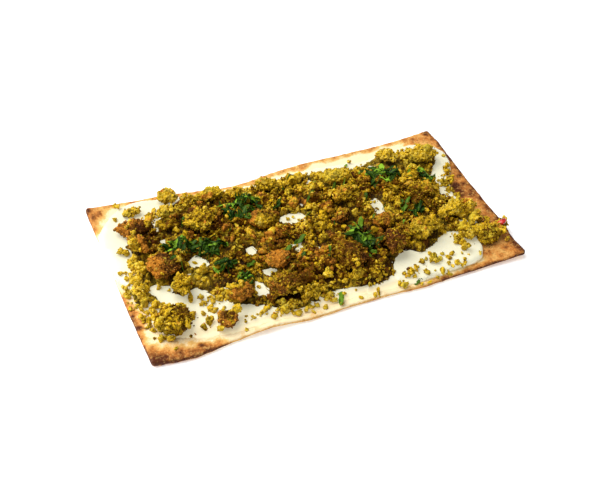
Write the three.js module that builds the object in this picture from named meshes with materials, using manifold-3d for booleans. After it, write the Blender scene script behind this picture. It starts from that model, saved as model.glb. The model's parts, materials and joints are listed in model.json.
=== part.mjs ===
// A rectangular crisp flatbread spread with labneh, heaped with crumbled falafel and strewn with
// shredded mint. Millimetres, +Z up. X runs along the bread, Y across it, and the bread rests on z = 0.
import * as THREE from "three";
import { mergeVertices } from "three/addons/utils/BufferGeometryUtils.js";
import Module from "manifold-3d";

const wasm = await Module();
wasm.setup();

// The bread
const BREAD_LENGTH = 301;
const BREAD_WIDTH = 152;
const BREAD_THICKNESS = 3.2;
const BREAD_CORNER_RADIUS = 1.8;
const LONG_SIDE_STEPS = 21;
const SHORT_SIDE_STEPS = 10;
const BREAD_EDGE_ROUNDING = 0.8;
const BREAD_TOP_INSETS = [5, 13];
const EDGE_PUFF = 0.9;
const EDGE_PUFF_REACH = 9;
const LIFT_REACH = 72;
const PUFF_REACH = 50;
const FLAT_BASE_INSET = 40;
const LIFTED_INSET = 14;
// How far each corner stands off the table, and how much thicker it has puffed
const CORNERS = {
  backLeft: { at: [-150, 76], lift: 3.6, puff: 0.4 },
  backRight: { at: [150, 76], lift: 5.6, puff: 0.2 },
  frontRight: { at: [150, -76], lift: 2.8, puff: 0.3 },
  frontLeft: { at: [-150, -76], lift: 0, puff: 1.6 },
};
// Where an edge bows out of or into the rectangle: centre along X, half width, and distance outwards
const FRONT_BOWS = [
  [-122, 24, 4.2],
  [-30, 14, 1.4],
  [60, 18, 1.6],
];
const BACK_BOWS = [[-35, 38, -6.6]];
const FRONT_WAVE = { x: -65, halfWidth: 18, lift: 3, reach: 30 };

// The labneh
const LABNEH_THICKNESS = 3;
const LABNEH_EDGE = 1.1;
const LABNEH_SHOULDER = 3.6;
const LABNEH_FOOT_INSET = 12;
const SPATULA_MARKS = 0.35;
const LABNEH_SIDES = 76;
const LABNEH_OUTLINE = [
  [-148.5, 4], [-143, -14], [-140, -34], [-138, -53], [-124, -65], [-98, -71], [-70, -73],
  [-35, -72.5], [0, -71.5], [30, -73], [60, -74.5], [92, -72], [112, -71.5], [120.5, -62], [122, -50],
  [134, -34], [135, -14], [132, 2], [138, 18], [147, 32], [148, 50], [132, 64], [104, 65],
  [78, 62], [40, 66], [0, 65], [-40, 64], [-80, 69], [-120, 71], [-137, 62], [-148, 46], [-149, 24],
];
// Where the spread stands thicker or thinner: place, half lengths, and extra thickness
const LABNEH_SWELLS = [
  { at: [98, -58], reach: [30, 17], rise: 2.2 },
  { at: [-143, 32], reach: [14, 26], rise: 1.4 },
  { at: [58, -62], reach: [16, 12], rise: 1.2 },
  { at: [138, 36], reach: [14, 20], rise: 0.8 },
  { at: [-118, -64], reach: [34, 12], rise: -1.9 },
  { at: [-10, -72], reach: [36, 8], rise: -1.6 },
];

// The crumbled falafel
const HEAP_DEPTH = 4.6;
const HEAP_EDGE = 1.4;
const HEAP_SHOULDER = 4.2;
const HEAP_RELIEF = 0.9;
const PATCH_SIDES = 9;
const HEAP_SIDES = 72;
const HEAP_OUTLINE = [
  [-136, 27], [-130, 12], [-141, -6], [-143, -26], [-128, -30], [-104, -29], [-91, -35],
  [-84, -48], [-62, -56], [-50, -67], [-30, -67], [-8, -61], [6, -63], [36, -65], [47, -52],
  [59, -44], [74, -51], [100, -37], [112, -40], [126, -38], [132, -26],
  [130, -10], [118, -3], [122, 14], [124, 27], [138, 42], [136, 56], [116, 58], [105, 50],
  [99, 62], [80, 57], [60, 50], [40, 57], [0, 59], [-30, 60], [-55, 63], [-84, 62], [-102, 50],
  [-108, 34], [-122, 36],
];
// Where the labneh shows between the crumbs: place, half lengths and turn in degrees
const BARE_PATCHES = [
  { at: [-91, -5], reach: [5.5, 4.5], turn: 0 },
  { at: [-50, -6], reach: [3.6, 4.6], turn: 0 },
  { at: [-123, -20], reach: [7.5, 4.5], turn: -15 },
  { at: [-6, 14], reach: [11, 4], turn: -12 },
  { at: [-15, -15], reach: [4.5, 4.5], turn: 0 },
  { at: [62, 6], reach: [5.5, 9], turn: -20 },
  { at: [-56, -44], reach: [3.2, 6.5], turn: 12 },
  { at: [121, -33], reach: [4, 3], turn: 0 },
];
const FUSED_CRUMBS = 80;
const CRUMB_SPACING = 9.6;
const CRUMB_SIZE = [4.2, 8.4];
const CRUMB_RISE = 0.14;
const CRUMB_TRIES = 4000;
// Crumbs that lie on the bare spread: place, and distance across
const LOOSE_CRUMBS = [
  [-138, -60, 5], [-146, 4, 3.6], [-134, 56, 4], [-128, 68, 4.6], [-102, -58, 6.5],
  [-66, -64, 5], [-20, -72, 4.4], [22, -75, 5], [44, -73, 6], [52, -66, 5.5], [64, -71, 5.4],
  [76, -73, 5.4], [90, -71, 5.6], [104, -60, 5.6], [106, -48, 6.4], [128, 12, 6], [138, 26, 5.4],
  [66, 62, 4.4],
];

// Large pieces of falafel: place, length, width and height, and turn in degrees
const CHUNKS = [
  { at: [-125, 40], size: [29, 16, 13], turn: -12 },
  { at: [-128, 20], size: [14, 22, 13], turn: 8 },
  { at: [-140, 22], size: [9, 10, 7], turn: 0 },
  { at: [-119, -7], size: [24, 25, 14], turn: 20 },
  { at: [-112, -27], size: [17, 18, 12], turn: 0 },
  { at: [-126, -50], size: [27, 23, 16], turn: 25 },
  { at: [-91, -63], size: [18, 15, 11], turn: 30 },
  { at: [-76, -48], size: [23, 16, 13], turn: 8 },
  { at: [-78, 27], size: [25, 24, 15], turn: 0 },
  { at: [-91, 63], size: [19, 16, 13], turn: 15 },
  { at: [-120, 58], size: [17, 8, 7], turn: 18 },
  { at: [-97, 44], size: [15, 15, 11], turn: 0 },
  { at: [-32, 13], size: [25, 19, 14], turn: -18 },
  { at: [-38, -27], size: [20, 17, 13], turn: 12 },
  { at: [-42, -53], size: [25, 21, 14], turn: -8 },
  { at: [13, -42], size: [27, 26, 15], turn: 30 },
  { at: [50, -41], size: [18, 24, 15], turn: -12 },
  { at: [78, -34], size: [29, 20, 14], turn: 22 },
  { at: [131.5, -50.5], size: [28, 19, 14], turn: 6 },
  { at: [149, -44], size: [12, 12.5, 9.5], turn: 30 },
  { at: [27, -1], size: [21, 12, 10], turn: 25 },
  { at: [41, 19], size: [26, 17, 12], turn: 14 },
  { at: [95, 51], size: [18, 17, 11], turn: 0 },
  { at: [122, 41.5], size: [27, 19, 11], turn: -10 },
  { at: [55, -17], size: [19, 15, 11], turn: 0 },
  { at: [110, -24], size: [28, 16, 11], turn: 10 },
  { at: [101, 6], size: [22, 19, 11], turn: 0 },
  { at: [-60, 53], size: [24, 14, 10], turn: 5 },
  { at: [-14, 51], size: [21, 14, 10], turn: -8 },
  { at: [41, 42.5], size: [26, 16, 10], turn: 6 },
  { at: [75, -61], size: [10.5, 9.5, 7], turn: 0 },
  { at: [113, -46], size: [16, 14, 10], turn: 30 },
];
const SMALL_CHUNK = 14;
const CHUNK_SINK = 0.34;
const CHUNK_FOOTPRINT = 0.3;
const CHUNK_ROUGHNESS = 0.13;

// The red chilli piece, between the crumbs at the right edge
const CHILLI = { at: [145.3, -45.7], size: [7.5, 2.8, 2.6], turn: 13 };

// Shredded mint: the size of a shred, then the piles and the single shreds
const SHRED_THICKNESS = 0.7;
const SHRED_WIDTH = 2.2;
const SHRED_TIP_WIDTH = 0.45;
const SHRED_STATIONS = 4;
const PILE_HEIGHT = 4.2;
const MINT_PILES = [
  { at: [-99, 9], reach: [11, 10], shreds: 5 },
  { at: [-79, 5], reach: [13, 8], shreds: 5 },
  { at: [-44, 34], reach: [16, 11], shreds: 8 },
  { at: [-79, -19], reach: [8, 4.5], shreds: 3 },
  { at: [-67, -33], reach: [7, 7], shreds: 3 },
  { at: [31, -27], reach: [11, 20], shreds: 7 },
  { at: [80, 34], reach: [13, 11], shreds: 7 },
  { at: [112, 18], reach: [7, 8], shreds: 3 },
  { at: [89, -12], reach: [6, 7], shreds: 3 },
];
const MINT_SHREDS = [
  { at: [-11, -9], length: 12, turn: 12 },
  { at: [2, -31], length: 9, turn: 60 },
  { at: [-25, -17], length: 10, turn: 40 },
  { at: [10, 54], length: 8, turn: 70 },
  { at: [60, 57], length: 7, turn: -35 },
  { at: [14, 25], length: 14, turn: 42 },
  { at: [35, 33], length: 11, turn: 50 },
  { at: [-5.5, -69], length: 14, turn: 62 },
  { at: [-56, -23], length: 11, turn: 35 },
  { at: [79, -3], length: 20, turn: 48 },
  { at: [51, -8], length: 7, turn: 70 },
  { at: [-14, 27], length: 9, turn: 20 },
];

// Clearance between neighbours, under the spread and under the heap, and the step of the search
// for a clear height
const GAP = 0.32;
const SPREAD_GAP = 0.6;
const HEAP_GAP = 0.9;
const CLEAR_STEP = 0.5;
const TOUCHING = 1e-4;
const SEED = 20;

// A repeatable source of numbers from 0 to 1.
function randomFrom(seed) {
  let state = seed * 2654435761;
  return () => {
    state = (state + 0x6d2b79f5) | 0;
    let t = Math.imul(state ^ (state >>> 15), 1 | state);
    t = (t + Math.imul(t ^ (t >>> 7), 61 | t)) ^ t;
    return ((t ^ (t >>> 14)) >>> 0) / 4294967296;
  };
}

const between = (random, low, high) => low + (high - low) * random();
const bell = (distance, halfWidth) => Math.exp(-((distance / halfWidth) ** 2));
const eased = (share) => Math.max(0, share) ** 2;
const radians = THREE.MathUtils.degToRad;
const times = (count, make) => Array.from({ length: count }, (_, i) => make(i));

// The geometry as a manifold solid, on its positions alone.
function solidOf(geometry) {
  const bare = new THREE.BufferGeometry().setAttribute("position", geometry.getAttribute("position"));
  if (geometry.index) bare.setIndex(geometry.index);
  const merged = mergeVertices(bare, TOUCHING);
  return new wasm.Manifold(
    new wasm.Mesh({
      numProp: 3,
      vertProperties: new Float32Array(merged.attributes.position.array),
      triVerts: new Uint32Array(merged.index.array),
    }),
  );
}

function geometryOf(solid) {
  const { vertProperties, triVerts } = solid.getMesh();
  const geometry = new THREE.BufferGeometry();
  geometry.setAttribute("position", new THREE.BufferAttribute(new Float32Array(vertProperties), 3));
  geometry.setIndex(new THREE.BufferAttribute(new Uint32Array(triVerts), 1));
  return geometry;
}

// A geometry from rows of points and a list of corners.
function geometryFrom(rows, faces) {
  const geometry = new THREE.BufferGeometry();
  geometry.setAttribute("position", new THREE.Float32BufferAttribute(rows.flat(2), 3));
  geometry.setIndex(faces);
  return geometry;
}

// The largest connected body of a solid, so that no loose scrap stays.
function largestBody(solid) {
  return solid.decompose().sort((a, b) => b.volume() - a.volume())[0];
}

// A closed surface through rings of points. Each ring runs anticlockwise seen from above, and the
// rings run from the middle of the underside, out round the edge, to the middle of the top.
function loft(rings) {
  const count = rings[0].length;
  const faces = [];
  rings.slice(1).forEach((ring, step) => {
    for (let i = 0; i < count; i++) {
      const next = (i + 1) % count;
      const [a, b] = [step * count + i, step * count + next];
      faces.push(a, b, b + count, a, b + count, a + count);
    }
  });
  const flat = (ring) => ring.map(([x, y]) => new THREE.Vector2(x, y));
  const cap = (ring) => THREE.ShapeUtils.triangulateShape(flat(ring), []);
  const last = (rings.length - 1) * count;
  cap(rings[0]).forEach(([a, b, c]) => faces.push(a, c, b));
  cap(rings.at(-1)).forEach(([a, b, c]) => faces.push(last + a, last + b, last + c));
  return geometryFrom(rings, faces);
}

// Points along a smooth closed curve through the given places.
function smoothOutline(places, count) {
  const curve = new THREE.CatmullRomCurve3(
    places.map(([x, y]) => new THREE.Vector3(x, y, 0)), true, "centripetal");
  return curve.getSpacedPoints(count).slice(0, count).map(({ x, y }) => [x, y]);
}

// The ring of an outline drawn in towards the long middle line, by a distance and then by a share.
function drawnIn(outline, inset, share, height) {
  const spineHalf = BREAD_LENGTH * 0.3;
  const alongSpine = 0.7;
  return outline.map(([x, y]) => {
    const middle = THREE.MathUtils.clamp(x * alongSpine, -spineHalf, spineHalf);
    const reach = Math.hypot(x - middle, y);
    const kept = (1 - share) * (1 - inset / reach);
    const [px, py] = [middle + (x - middle) * kept, y * kept];
    return [px, py, height(px, py)];
  });
}

// How far the underside of the bread stands off the table.
function breadLift(x, y) {
  const fromCorners = Object.values(CORNERS).reduce(
    (sum, { at, lift }) => sum + lift * eased(1 - Math.hypot(x - at[0], y - at[1]) / LIFT_REACH), 0);
  const wave = FRONT_WAVE;
  const inFromFront = y + BREAD_WIDTH / 2;
  return fromCorners + wave.lift * bell(x - wave.x, wave.halfWidth) * eased(1 - inFromFront / wave.reach);
}

// The top of the bread, with its puffed rim and corners.
function breadTop(x, y) {
  const inFromEdge = Math.min(BREAD_LENGTH / 2 - Math.abs(x), BREAD_WIDTH / 2 - Math.abs(y));
  const blister = 0.6 + 0.4 * Math.sin(x * 0.16 + y * 0.09) * Math.cos(y * 0.21 - x * 0.05);
  const rim = EDGE_PUFF * blister * eased(1 - Math.max(0, inFromEdge) / EDGE_PUFF_REACH);
  const corners = Object.values(CORNERS).reduce(
    (sum, { at, puff }) => sum + puff * eased(1 - Math.hypot(x - at[0], y - at[1]) / PUFF_REACH), 0);
  return breadLift(x, y) + BREAD_THICKNESS + rim + corners;
}

// The bread's outline: a rectangle with small round corners whose long edges bow.
function breadOutline() {
  const radius = BREAD_CORNER_RADIUS;
  const [halfLength, halfWidth] = [BREAD_LENGTH / 2, BREAD_WIDTH / 2];
  const centres = [[1, -1], [1, 1], [-1, 1], [-1, -1]].map(
    ([sx, sy]) => [sx * (halfLength - radius), sy * (halfWidth - radius)]);
  const onCorner = (corner, turn) => {
    const [cx, cy] = centres[corner % 4];
    const angle = (corner - 1 + turn) * (Math.PI / 2);
    return [cx + radius * Math.cos(angle), cy + radius * Math.sin(angle)];
  };
  const straight = (from, to, steps) => times(steps - 1, (i) =>
    from.map((value, axis) => THREE.MathUtils.lerp(value, to[axis], (i + 1) / steps)));
  const places = [0, 1, 2, 3].flatMap((corner) => {
    const steps = corner % 2 === 0 ? SHORT_SIDE_STEPS : LONG_SIDE_STEPS;
    const arc = [0, 0.5, 1].map((turn) => onCorner(corner, turn));
    return [...arc, ...straight(arc.at(-1), onCorner(corner + 1, 0), steps)];
  });
  const bow = (x, bows) => bows.reduce((sum, [at, width, out]) => sum + out * bell(x - at, width), 0);
  return places.map(([x, y]) => {
    const out = bow(x, y < 0 ? FRONT_BOWS : BACK_BOWS);
    return [x + 0.5 * Math.sin(y * 0.07), y + (y / halfWidth) * out];
  });
}

function bread() {
  const outline = breadOutline();
  const soft = BREAD_EDGE_ROUNDING;
  const middle = (x, y) => (breadLift(x, y) + breadTop(x, y)) / 2;
  return solidOf(loft([
    drawnIn(outline, FLAT_BASE_INSET, 0, () => 0),
    drawnIn(outline, LIFTED_INSET, 0, breadLift),
    drawnIn(outline, soft, 0, breadLift),
    drawnIn(outline, 0, 0, middle),
    ...[soft, ...BREAD_TOP_INSETS, FLAT_BASE_INSET].map((inset) => drawnIn(outline, inset, 0, breadTop)),
  ]));
}

// The spread's thickness: its swells and the marks that the spatula left.
function labnehThickness(x, y) {
  const swell = LABNEH_SWELLS.reduce(
    (sum, { at, reach, rise }) => sum + rise * bell(x - at[0], reach[0]) * bell(y - at[1], reach[1]), 0);
  const marks = Math.sin(x * 0.11 + 1.7 * Math.sin(y * 0.06)) * Math.cos(y * 0.13 + 0.4);
  return LABNEH_THICKNESS + swell + SPATULA_MARKS * marks;
}

// The height at a share of the way up through the spread.
const inSpread = (share) => (x, y) => breadTop(x, y) + SPREAD_GAP + share * labnehThickness(x, y);

function labneh() {
  const outline = smoothOutline(LABNEH_OUTLINE, LABNEH_SIDES);
  return solidOf(loft([
    drawnIn(outline, LABNEH_FOOT_INSET, 0, inSpread(0)),
    drawnIn(outline, LABNEH_EDGE, 0, inSpread(0)),
    drawnIn(outline, 0, 0, inSpread(0.36)),
    drawnIn(outline, LABNEH_EDGE, 0, inSpread(0.8)),
    ...[0, 0.22, 0.48, 0.78].map((share) => drawnIn(outline, LABNEH_SHOULDER, share, inSpread(1))),
  ]));
}

// A crag: a sphere of few sides, roughened, stretched and turned, with its middle at a place.
function crag({ at, z, size, turn, detail, roughness = 0.18 }, random) {
  const geometry = new THREE.IcosahedronGeometry(0.5, detail);
  geometry.deleteAttribute("normal");
  geometry.deleteAttribute("uv");
  const merged = mergeVertices(geometry, TOUCHING);
  const position = merged.getAttribute("position");
  const point = new THREE.Vector3();
  for (let i = 0; i < position.count; i++) {
    point.fromBufferAttribute(position, i).multiplyScalar(1 + between(random, -roughness, roughness));
    position.setXYZ(i, point.x, point.y, point.z);
  }
  return merged.scale(...size).rotateZ(radians(turn)).translate(at[0], at[1], z);
}

// The highest point of some solids over each place, read from their triangles.
function surfaceOf(solids) {
  const triangles = solids.flatMap((solid) => {
    const { vertProperties, triVerts } = solid.getMesh();
    const corner = (i) => [0, 1, 2].map((axis) => vertProperties[triVerts[i] * 3 + axis]);
    return times(triVerts.length / 3, (t) => [corner(3 * t), corner(3 * t + 1), corner(3 * t + 2)]);
  });
  const side = ([ax, ay], [bx, by], [cx, cy]) => (bx - ax) * (cy - ay) - (by - ay) * (cx - ax);
  return (x, y) => triangles.reduce((highest, [a, b, c]) => {
    const area = side(a, b, c);
    const [u, v, w] = [side(b, c, [x, y]) / area, side(c, a, [x, y]) / area, side(a, b, [x, y]) / area];
    const over = area !== 0 && Math.min(u, v, w) >= 0;
    return over ? Math.max(highest, u * a[2] + v * b[2] + w * c[2]) : highest;
  }, -Infinity);
}

const touches = (solid, others) => others.some((other) => solid.intersect(other).volume() > 0);

// An irregular upright plug that cuts a bare patch through the heap.
function patchCutter({ at, reach, turn }, random) {
  const corners = times(PATCH_SIDES, (i) => {
    const angle = (2 * Math.PI * i) / PATCH_SIDES;
    const corner = new THREE.Vector2(Math.cos(angle) * reach[0], Math.sin(angle) * reach[1]);
    corner.multiplyScalar(between(random, 0.8, 1.2)).rotateAround(new THREE.Vector2(), radians(turn));
    return corner.add(new THREE.Vector2(...at));
  });
  const ring = (z) => corners.map((corner) => [corner.x, corner.y, z]);
  return solidOf(loft([ring(0), ring(BREAD_WIDTH)]));
}

// The bare core of the heap: a bumpy layer with the patches cut out, lying on the spread.
function heapCore(random) {
  const outline = smoothOutline(HEAP_OUTLINE, HEAP_SIDES);
  const foot = (x, y) => inSpread(1)(x, y) + HEAP_GAP;
  const bump = (x, y) =>
    Math.sin(x * 0.23 + 1.3 * Math.sin(y * 0.11)) * Math.cos(y * 0.25 + 0.8 * Math.sin(x * 0.09));
  const top = (x, y) => foot(x, y) + HEAP_DEPTH + HEAP_RELIEF * bump(x, y);
  const layer = solidOf(loft([
    drawnIn(outline, HEAP_EDGE, 0.5, foot),
    drawnIn(outline, 0, 0, foot),
    drawnIn(outline, 0, 0, (x, y) => foot(x, y) + HEAP_DEPTH * 0.3),
    drawnIn(outline, HEAP_EDGE, 0, (x, y) => top(x, y) - HEAP_DEPTH * 0.3),
    ...[0, 0.22, 0.46, 0.74].map((share) => drawnIn(outline, HEAP_SHOULDER, share, top)),
  ]));
  return largestBody(
    BARE_PATCHES.reduce((solid, patch) => solid.subtract(patchCutter(patch, random)), layer));
}

// A block that holds all the space over a height.
function spaceOver(height) {
  const block = new THREE.BoxGeometry(2 * BREAD_LENGTH, 2 * BREAD_WIDTH, BREAD_WIDTH);
  return solidOf(block.translate(0, 0, height + BREAD_WIDTH / 2));
}

// A neighbour with the clearance that pieces keep from it.
const withClearance = (solid) => solid.add(solidOf(geometryOf(solid).translate(0, 0, GAP)));

// The piece less what it shares with its neighbours, with a gap to each.
function trimmed(piece, neighbours) {
  return largestBody(neighbours.filter((other) => touches(piece, [other]))
    .reduce((solid, other) => solid.subtract(withClearance(other)), piece));
}

// A large piece: a crag cut off flat just over the highest ground under it.
function chunk(row, ground, made, random) {
  const footprint = [[0, 0], [1, 0], [-1, 0], [0, 1], [0, -1]].map(
    (step) => step.map((share, axis) => row.at[axis] + share * row.size[axis] * CHUNK_FOOTPRINT));
  const seat = Math.max(...footprint.map((place) => surfaceOf(ground)(...place)));
  const detail = Math.max(...row.size) < SMALL_CHUNK ? 0 : 1;
  const z = seat + row.size[2] * CHUNK_SINK;
  const whole = solidOf(crag({ ...row, z, detail, roughness: CHUNK_ROUGHNESS }, random));
  return trimmed(whole.intersect(spaceOver(seat + GAP)), [...ground, ...made]);
}

// Places spread evenly over the heap's core, each at least a spacing from the others.
function crumbPlaces(core, random) {
  const surface = surfaceOf([core]);
  const places = [];
  for (let tries = 0; tries < CRUMB_TRIES; tries++) {
    const x = between(random, -BREAD_LENGTH / 2, BREAD_LENGTH / 2);
    const y = between(random, -BREAD_WIDTH / 2, BREAD_WIDTH / 2);
    const crowded = places.some((place) => Math.hypot(x - place[0], y - place[1]) < CRUMB_SPACING);
    const z = crowded ? -Infinity : surface(x, y);
    if (z > -Infinity) places.push([x, y, z]);
  }
  return places;
}

// A crumb sunk a little into the surface at a place.
function crumb([x, y, z], across, random) {
  const size = [across, across * between(random, 0.7, 1), across * between(random, 0.6, 0.85)];
  const turn = between(random, 0, 180);
  return solidOf(crag({ at: [x, y], z: z + across * CRUMB_RISE, size, turn, detail: 0 }, random));
}

// The heap: its core with crumbs fused on wherever they clear the pieces that lie on it.
function heap(core, spread, toppings, random) {
  const crumbs = crumbPlaces(core, random)
    .map((place) => crumb(place, between(random, ...CRUMB_SIZE), random))
    .filter((piece) => !touches(piece, [spread, ...toppings]));
  return crumbs.slice(0, FUSED_CRUMBS).reduce((solid, piece) => solid.add(piece), core);
}

// The spread with the loose crumbs that lie on it fused in.
function strewn(spread, base, toppings, random) {
  const surface = surfaceOf([spread]);
  return LOOSE_CRUMBS.filter(([x, y]) => surface(x, y) > -Infinity)
    .map(([x, y, across]) => crumb([x, y, surface(x, y)], across, random))
    .filter((piece) => !touches(piece, [base, ...toppings]))
    .reduce((solid, piece) => solid.add(piece), spread);
}

// One shred: a thin strip that bends in plan, arches in height, twists and narrows to its tips.
function shred({ at, z, length, turn, bend, arch, roll }) {
  const half = SHRED_THICKNESS / 2;
  const rings = times(SHRED_STATIONS, (i) => {
    const along = i / (SHRED_STATIONS - 1) - 0.5;
    const heading = radians(turn) + bend * along;
    const tilt = roll + 0.5 * Math.sin(along * 5);
    const reach = THREE.MathUtils.lerp(SHRED_WIDTH, SHRED_TIP_WIDTH, (2 * along) ** 4) / 2;
    const forward = new THREE.Vector3(Math.cos(heading), Math.sin(heading), 0);
    const side = new THREE.Vector3(-forward.y * Math.cos(tilt), forward.x * Math.cos(tilt), Math.sin(tilt));
    const middle = new THREE.Vector3(at[0], at[1], z + arch * Math.cos(along * Math.PI));
    middle.addScaledVector(forward, along * length);
    return [[1, -half], [-1, -half], [-1, half], [1, half]].map(([across, up]) =>
      middle.clone().addScaledVector(side, reach * across).add(new THREE.Vector3(0, 0, up)).toArray());
  });
  const faces = [0, 1, 2, 0, 2, 3];
  for (let corner = 0; corner < (SHRED_STATIONS - 1) * 4; corner++) {
    const next = corner % 4 === 3 ? corner - 3 : corner + 1;
    faces.push(corner, corner + 4, next + 4, corner, next + 4, next);
  }
  const end = (SHRED_STATIONS - 1) * 4;
  faces.push(end, end + 2, end + 1, end, end + 3, end + 2);
  return geometryFrom(rings, faces);
}

// Lifts a piece, a step at a time, until it clears all that lies below it.
function liftedClear(make, start, below) {
  let z = start;
  while (touches(solidOf(make(z)), below) || touches(solidOf(make(z + GAP)), below)) z += CLEAR_STEP;
  return solidOf(make(z + GAP));
}

// A pile: shreds that splay out from a small tuft, each shortened until it clears what lies near.
function mintPile({ at, reach, shreds }, below, random) {
  const size = [reach[0] * 1.1, reach[1] * 1.1, PILE_HEIGHT];
  const tuftAt = (z) => crag({ at, z, size, turn: 0, detail: 0 }, randomFrom(shreds));
  const tuft = liftedClear(tuftAt, surfaceOf(below)(...at) + PILE_HEIGHT * 0.3, below);
  const middle = surfaceOf([tuft])(...at) - PILE_HEIGHT / 2;
  const strips = times(shreds, (i) => {
    const turn = (360 * i) / shreds + between(random, -16, 16);
    const step = [Math.cos(radians(turn)), Math.sin(radians(turn))];
    const full = Math.hypot(step[0] * reach[0], step[1] * reach[1]) * between(random, 0.85, 1.15);
    const form = { turn, bend: between(random, -0.9, 0.9), roll: between(random, -0.6, 0.6), arch: 1 };
    const z = middle + between(random, -0.6, 1.2);
    const strip = (share) => {
      const place = at.map((value, axis) => value + step[axis] * full * share * 0.55);
      return solidOf(shred({ ...form, at: place, z, length: full * share * 0.9 }));
    };
    return [1, 0.82, 0.66].map(strip).find((piece) => !touches(piece, below));
  });
  return largestBody(strips.filter(Boolean).reduce((solid, strip) => solid.add(strip), tuft));
}

function singleShred(row, below, random) {
  const form = { ...row, bend: between(random, -0.8, 0.8), arch: 0.5, roll: between(random, -0.3, 0.3) };
  return liftedClear((z) => shred({ ...form, z }), surfaceOf(below)(...row.at), below);
}

function chilliPiece(below) {
  const form = (z) => crag({ ...CHILLI, z, detail: 0 }, randomFrom(SEED));
  return liftedClear(form, surfaceOf(below)(...CHILLI.at), below);
}

// Colours and finishes
const finishes = {
  bread: { color: "#e3ad69", roughness: 0.75 },
  labneh: { color: "#f3f0de", roughness: 0.35 },
  crumble: { color: "#b8901c", roughness: 0.9 },
  chunk: { color: "#8f5e1a", roughness: 0.9 },
  mint: { color: "#1f6a1c", roughness: 0.5 },
  chilli: { color: "#cf2417", roughness: 0.35 },
};

function node(name, solid, finish) {
  const material = new THREE.MeshStandardMaterial({ ...finish, metalness: 0 });
  const mesh = new THREE.Mesh(geometryOf(solid), material);
  mesh.name = name;
  return mesh;
}

const numbered = (stem, solids, finish) => solids.map(
  (solid, i) => node(`${stem}_${String(i + 1).padStart(2, "0")}`, solid, finish));

// A solid for each row, made in turn so that it clears what is below it and those made before it
const inTurn = (rows, below, make) => rows.reduce(
  (made, row) => [...made, make(row, [...below, ...made])], []);

const random = randomFrom(SEED);
const base = bread();
const plainSpread = labneh();
const core = heapCore(random);
const ground = [base, plainSpread, core];
const chunks = CHUNKS.reduce((made, row) => [...made, chunk(row, ground, made, random)], []);
const piles = inTurn(MINT_PILES, [...ground, ...chunks], (row, below) => mintPile(row, below, random));
const chilli = chilliPiece([...ground, ...chunks]);
const shreds = inTurn(MINT_SHREDS, [...ground, ...chunks, ...piles],
  (row, below) => singleShred(row, below, random));
const toppings = [...chunks, ...piles, ...shreds, chilli];
const crumble = heap(core, plainSpread, toppings, random);
const spread = strewn(plainSpread, base, [...toppings, crumble], random);

const flatbread = new THREE.Group();
flatbread.name = "labneh_falafel_flatbread";
flatbread.add(
  node("flatbread", base, finishes.bread),
  node("labneh", spread, finishes.labneh),
  node("falafel_crumble", crumble, finishes.crumble),
  ...numbered("falafel_chunk", chunks, finishes.chunk),
  node("chilli_piece", chilli, finishes.chilli),
  ...numbered("mint_pile", piles, finishes.mint),
  ...numbered("mint_shred", shreds, finishes.mint),
);

export default flatbread;
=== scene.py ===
# Labneh and falafel flatbread: crisp bread, labneh, crumbled falafel, shredded mint and chilli.
import json
import math
from contextlib import contextmanager

import bpy
import numpy as np
from bpy.props import FloatProperty, FloatVectorProperty, IntProperty, PointerProperty
from mathutils import Matrix, Vector
from mathutils.bvhtree import BVHTree

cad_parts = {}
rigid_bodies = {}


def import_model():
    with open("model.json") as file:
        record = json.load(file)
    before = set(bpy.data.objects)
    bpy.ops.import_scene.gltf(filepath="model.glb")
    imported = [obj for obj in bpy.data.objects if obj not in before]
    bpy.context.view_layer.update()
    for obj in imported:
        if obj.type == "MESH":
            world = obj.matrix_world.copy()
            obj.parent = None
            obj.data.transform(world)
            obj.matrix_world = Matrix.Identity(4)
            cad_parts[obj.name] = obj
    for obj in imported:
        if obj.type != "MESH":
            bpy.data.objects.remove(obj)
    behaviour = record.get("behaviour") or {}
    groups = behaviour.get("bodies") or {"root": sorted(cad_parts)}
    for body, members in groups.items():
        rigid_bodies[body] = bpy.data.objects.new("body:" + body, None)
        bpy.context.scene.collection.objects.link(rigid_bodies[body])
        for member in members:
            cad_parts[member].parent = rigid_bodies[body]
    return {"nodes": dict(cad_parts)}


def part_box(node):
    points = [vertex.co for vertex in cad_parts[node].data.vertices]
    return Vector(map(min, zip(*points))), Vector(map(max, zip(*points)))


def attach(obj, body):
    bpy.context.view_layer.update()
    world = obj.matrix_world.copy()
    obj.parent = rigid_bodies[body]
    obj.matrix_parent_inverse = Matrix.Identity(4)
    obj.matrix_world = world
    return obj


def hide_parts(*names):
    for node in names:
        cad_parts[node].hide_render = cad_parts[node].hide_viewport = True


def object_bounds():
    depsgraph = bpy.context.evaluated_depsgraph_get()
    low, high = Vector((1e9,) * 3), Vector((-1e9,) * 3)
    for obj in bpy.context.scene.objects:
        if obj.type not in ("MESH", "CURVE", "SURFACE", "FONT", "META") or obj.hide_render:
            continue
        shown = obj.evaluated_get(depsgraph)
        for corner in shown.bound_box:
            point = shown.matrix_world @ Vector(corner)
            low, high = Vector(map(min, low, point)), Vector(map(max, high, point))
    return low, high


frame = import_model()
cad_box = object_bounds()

bl_info = {
    "name": "Labneh and falafel flatbread",
    "version": (1, 0, 0),
    "blender": (4, 5, 0),
    "location": "View3D > Sidebar > Flatbread",
    "description": "Dresses the solids of a labneh and falafel flatbread",
    "category": "Add Mesh",
}

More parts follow.
